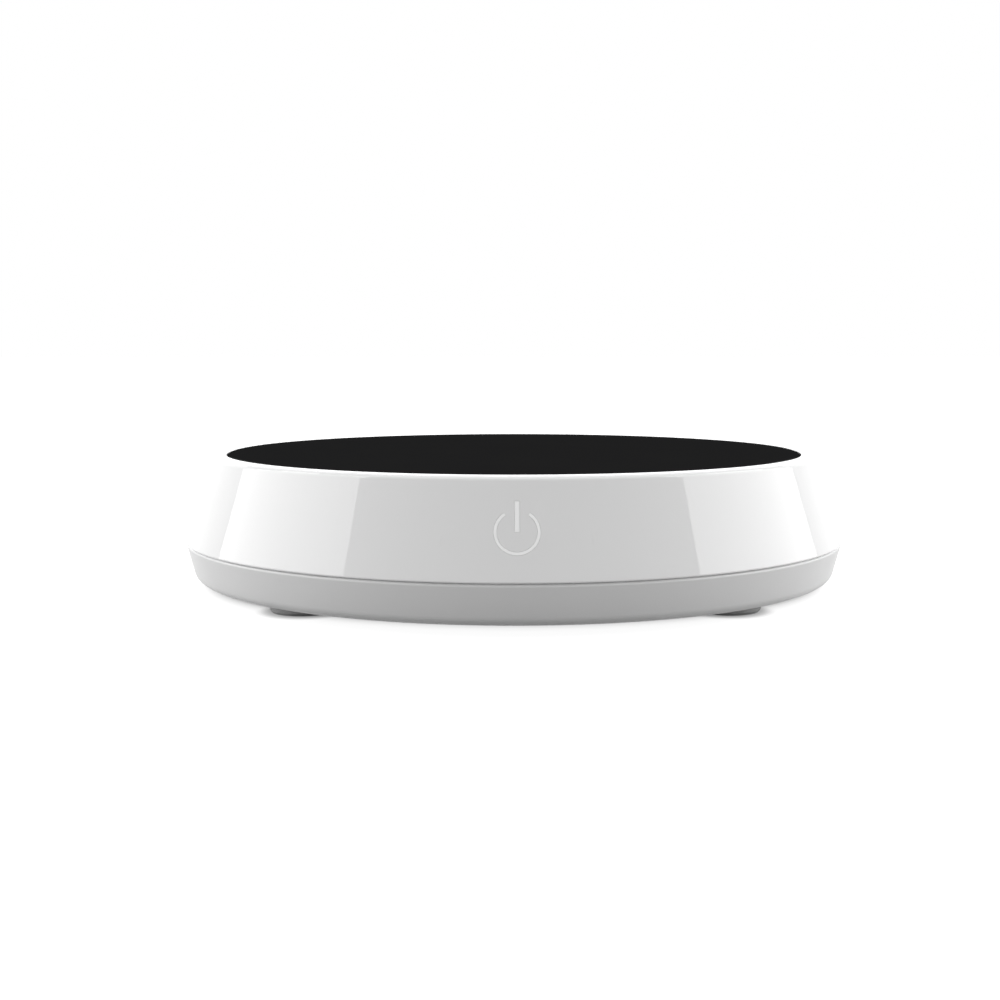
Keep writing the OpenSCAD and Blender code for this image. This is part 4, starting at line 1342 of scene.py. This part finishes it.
pattern = screw("touch_screw", **TOUCH_SCREW)
screws = group_of(pattern, "touch_board_screw_set", [Vector((x, 0, 0)) * MM for x in (-post_x, post_x)])
hand_in(screws, plated_steel, "plated_steel", "touch_board_screws", at=on_wall)

# %% [markdown]
# A coil spring is a circle of wire swept by a Screw modifier, this time with its own pitch. The
# circle stands upright at the coil's radius, and the two open ends are filled afterwards.

# %% Touch spring and lamp
SPRING = {"outer": 6, "wire": 0.5, "length": 5, "turns": 4}
SPRING_STEPS = 40
wire_r = SPRING["wire"] / 2
coil_r = SPRING["outer"] / 2 - wire_r
spring = start(bpy.ops.mesh.primitive_circle_add, "touch_spring_coil", vertices=12, radius=wire_r * MM,
               location=Vector((coil_r, 0, wire_r)) * MM, rotation=(math.pi / 2, 0, 0))
modify(settle(spring), "SCREW", angle=2 * math.pi, iterations=SPRING["turns"], steps=SPRING_STEPS,
       render_steps=SPRING_STEPS,
       screw_offset=(SPRING["length"] - SPRING["wire"]) / SPRING["turns"] * MM)
edit(spring)
bpy.ops.mesh.fill_holes(sides=0)
face_outwards()
face = on_wall @ Matrix.Translation((0, 0, thickness * MM))
hand_in(spring, nickel, "nickel", "touch_spring", at=face)

LAMP = {"width": 2, "depth": 1.25, "height": 0.8, "end": 0.5, "wall": 0.2, "hollow": 0.15}
end_w = LAMP["end"]
lamp = block("lamp_body", LAMP["width"] - end_w, LAMP["depth"], 0, LAMP["height"])
hollow(lamp, LAMP["wall"], LAMP["hollow"])
soften(lamp, 0.04)
hand_in(lamp, lamp_white, "led_white", "indicator_led", at=face)
end_x = (LAMP["width"] - end_w) / 2
ends = [block("lamp_ends", end_w, LAMP["depth"], 0, LAMP["height"] * 0.45, x=x) for x in (-end_x, end_x)]
hand_in(soften(join(*ends), 0.04), nickel, "nickel", at=face)

# %% [markdown]
# The ribbon to the touch board is six thin wires side by side, and its faces show as a row of round
# backs. So it is six leads next to each other along the same eased route. The route leaves the back
# of the touch board, runs down to the floor of the case, back under the heater and up to its header.

# %% Ribbon
RIBBON_WIRES = 6
RIBBON_REACH = 2.5 * MM
low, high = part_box("touch_ribbon")
wire_d = (high.x - low.x) / MM / RIBBON_WIRES
inward = Vector((0, math.cos(WALL_LEAN), -math.sin(WALL_LEAN)))
back = board_middle + inward * thickness / 2 * MM
turn_in = back + inward * RIBBON_REACH
floor_level = low.z + wire_d / 2 * MM
header_place, header_size = base_of("touch_header")
header_front = header_place + Vector((0, -header_size.y / 2, header_size.z / 2)) * MM
rise_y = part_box("control_board")[0].y - RIBBON_REACH
route = [
    back, turn_in, Vector((0, turn_in.y, floor_level)), Vector((0, rise_y, floor_level)),
    Vector((0, rise_y, header_front.z)), header_front
]
wires = []
for i in range(RIBBON_WIRES):
    aside = Vector(((i - (RIBBON_WIRES - 1) / 2) * wire_d * MM, 0, 0))
    wire_route = [point + aside for point in route]
    wires.append(lead("ribbon_wires", wire_route, wire_d / 2 * 0.96, bend=1.2))
hand_in(join(*wires), ribbon_grey, "ribbon_grey", "touch_ribbon")
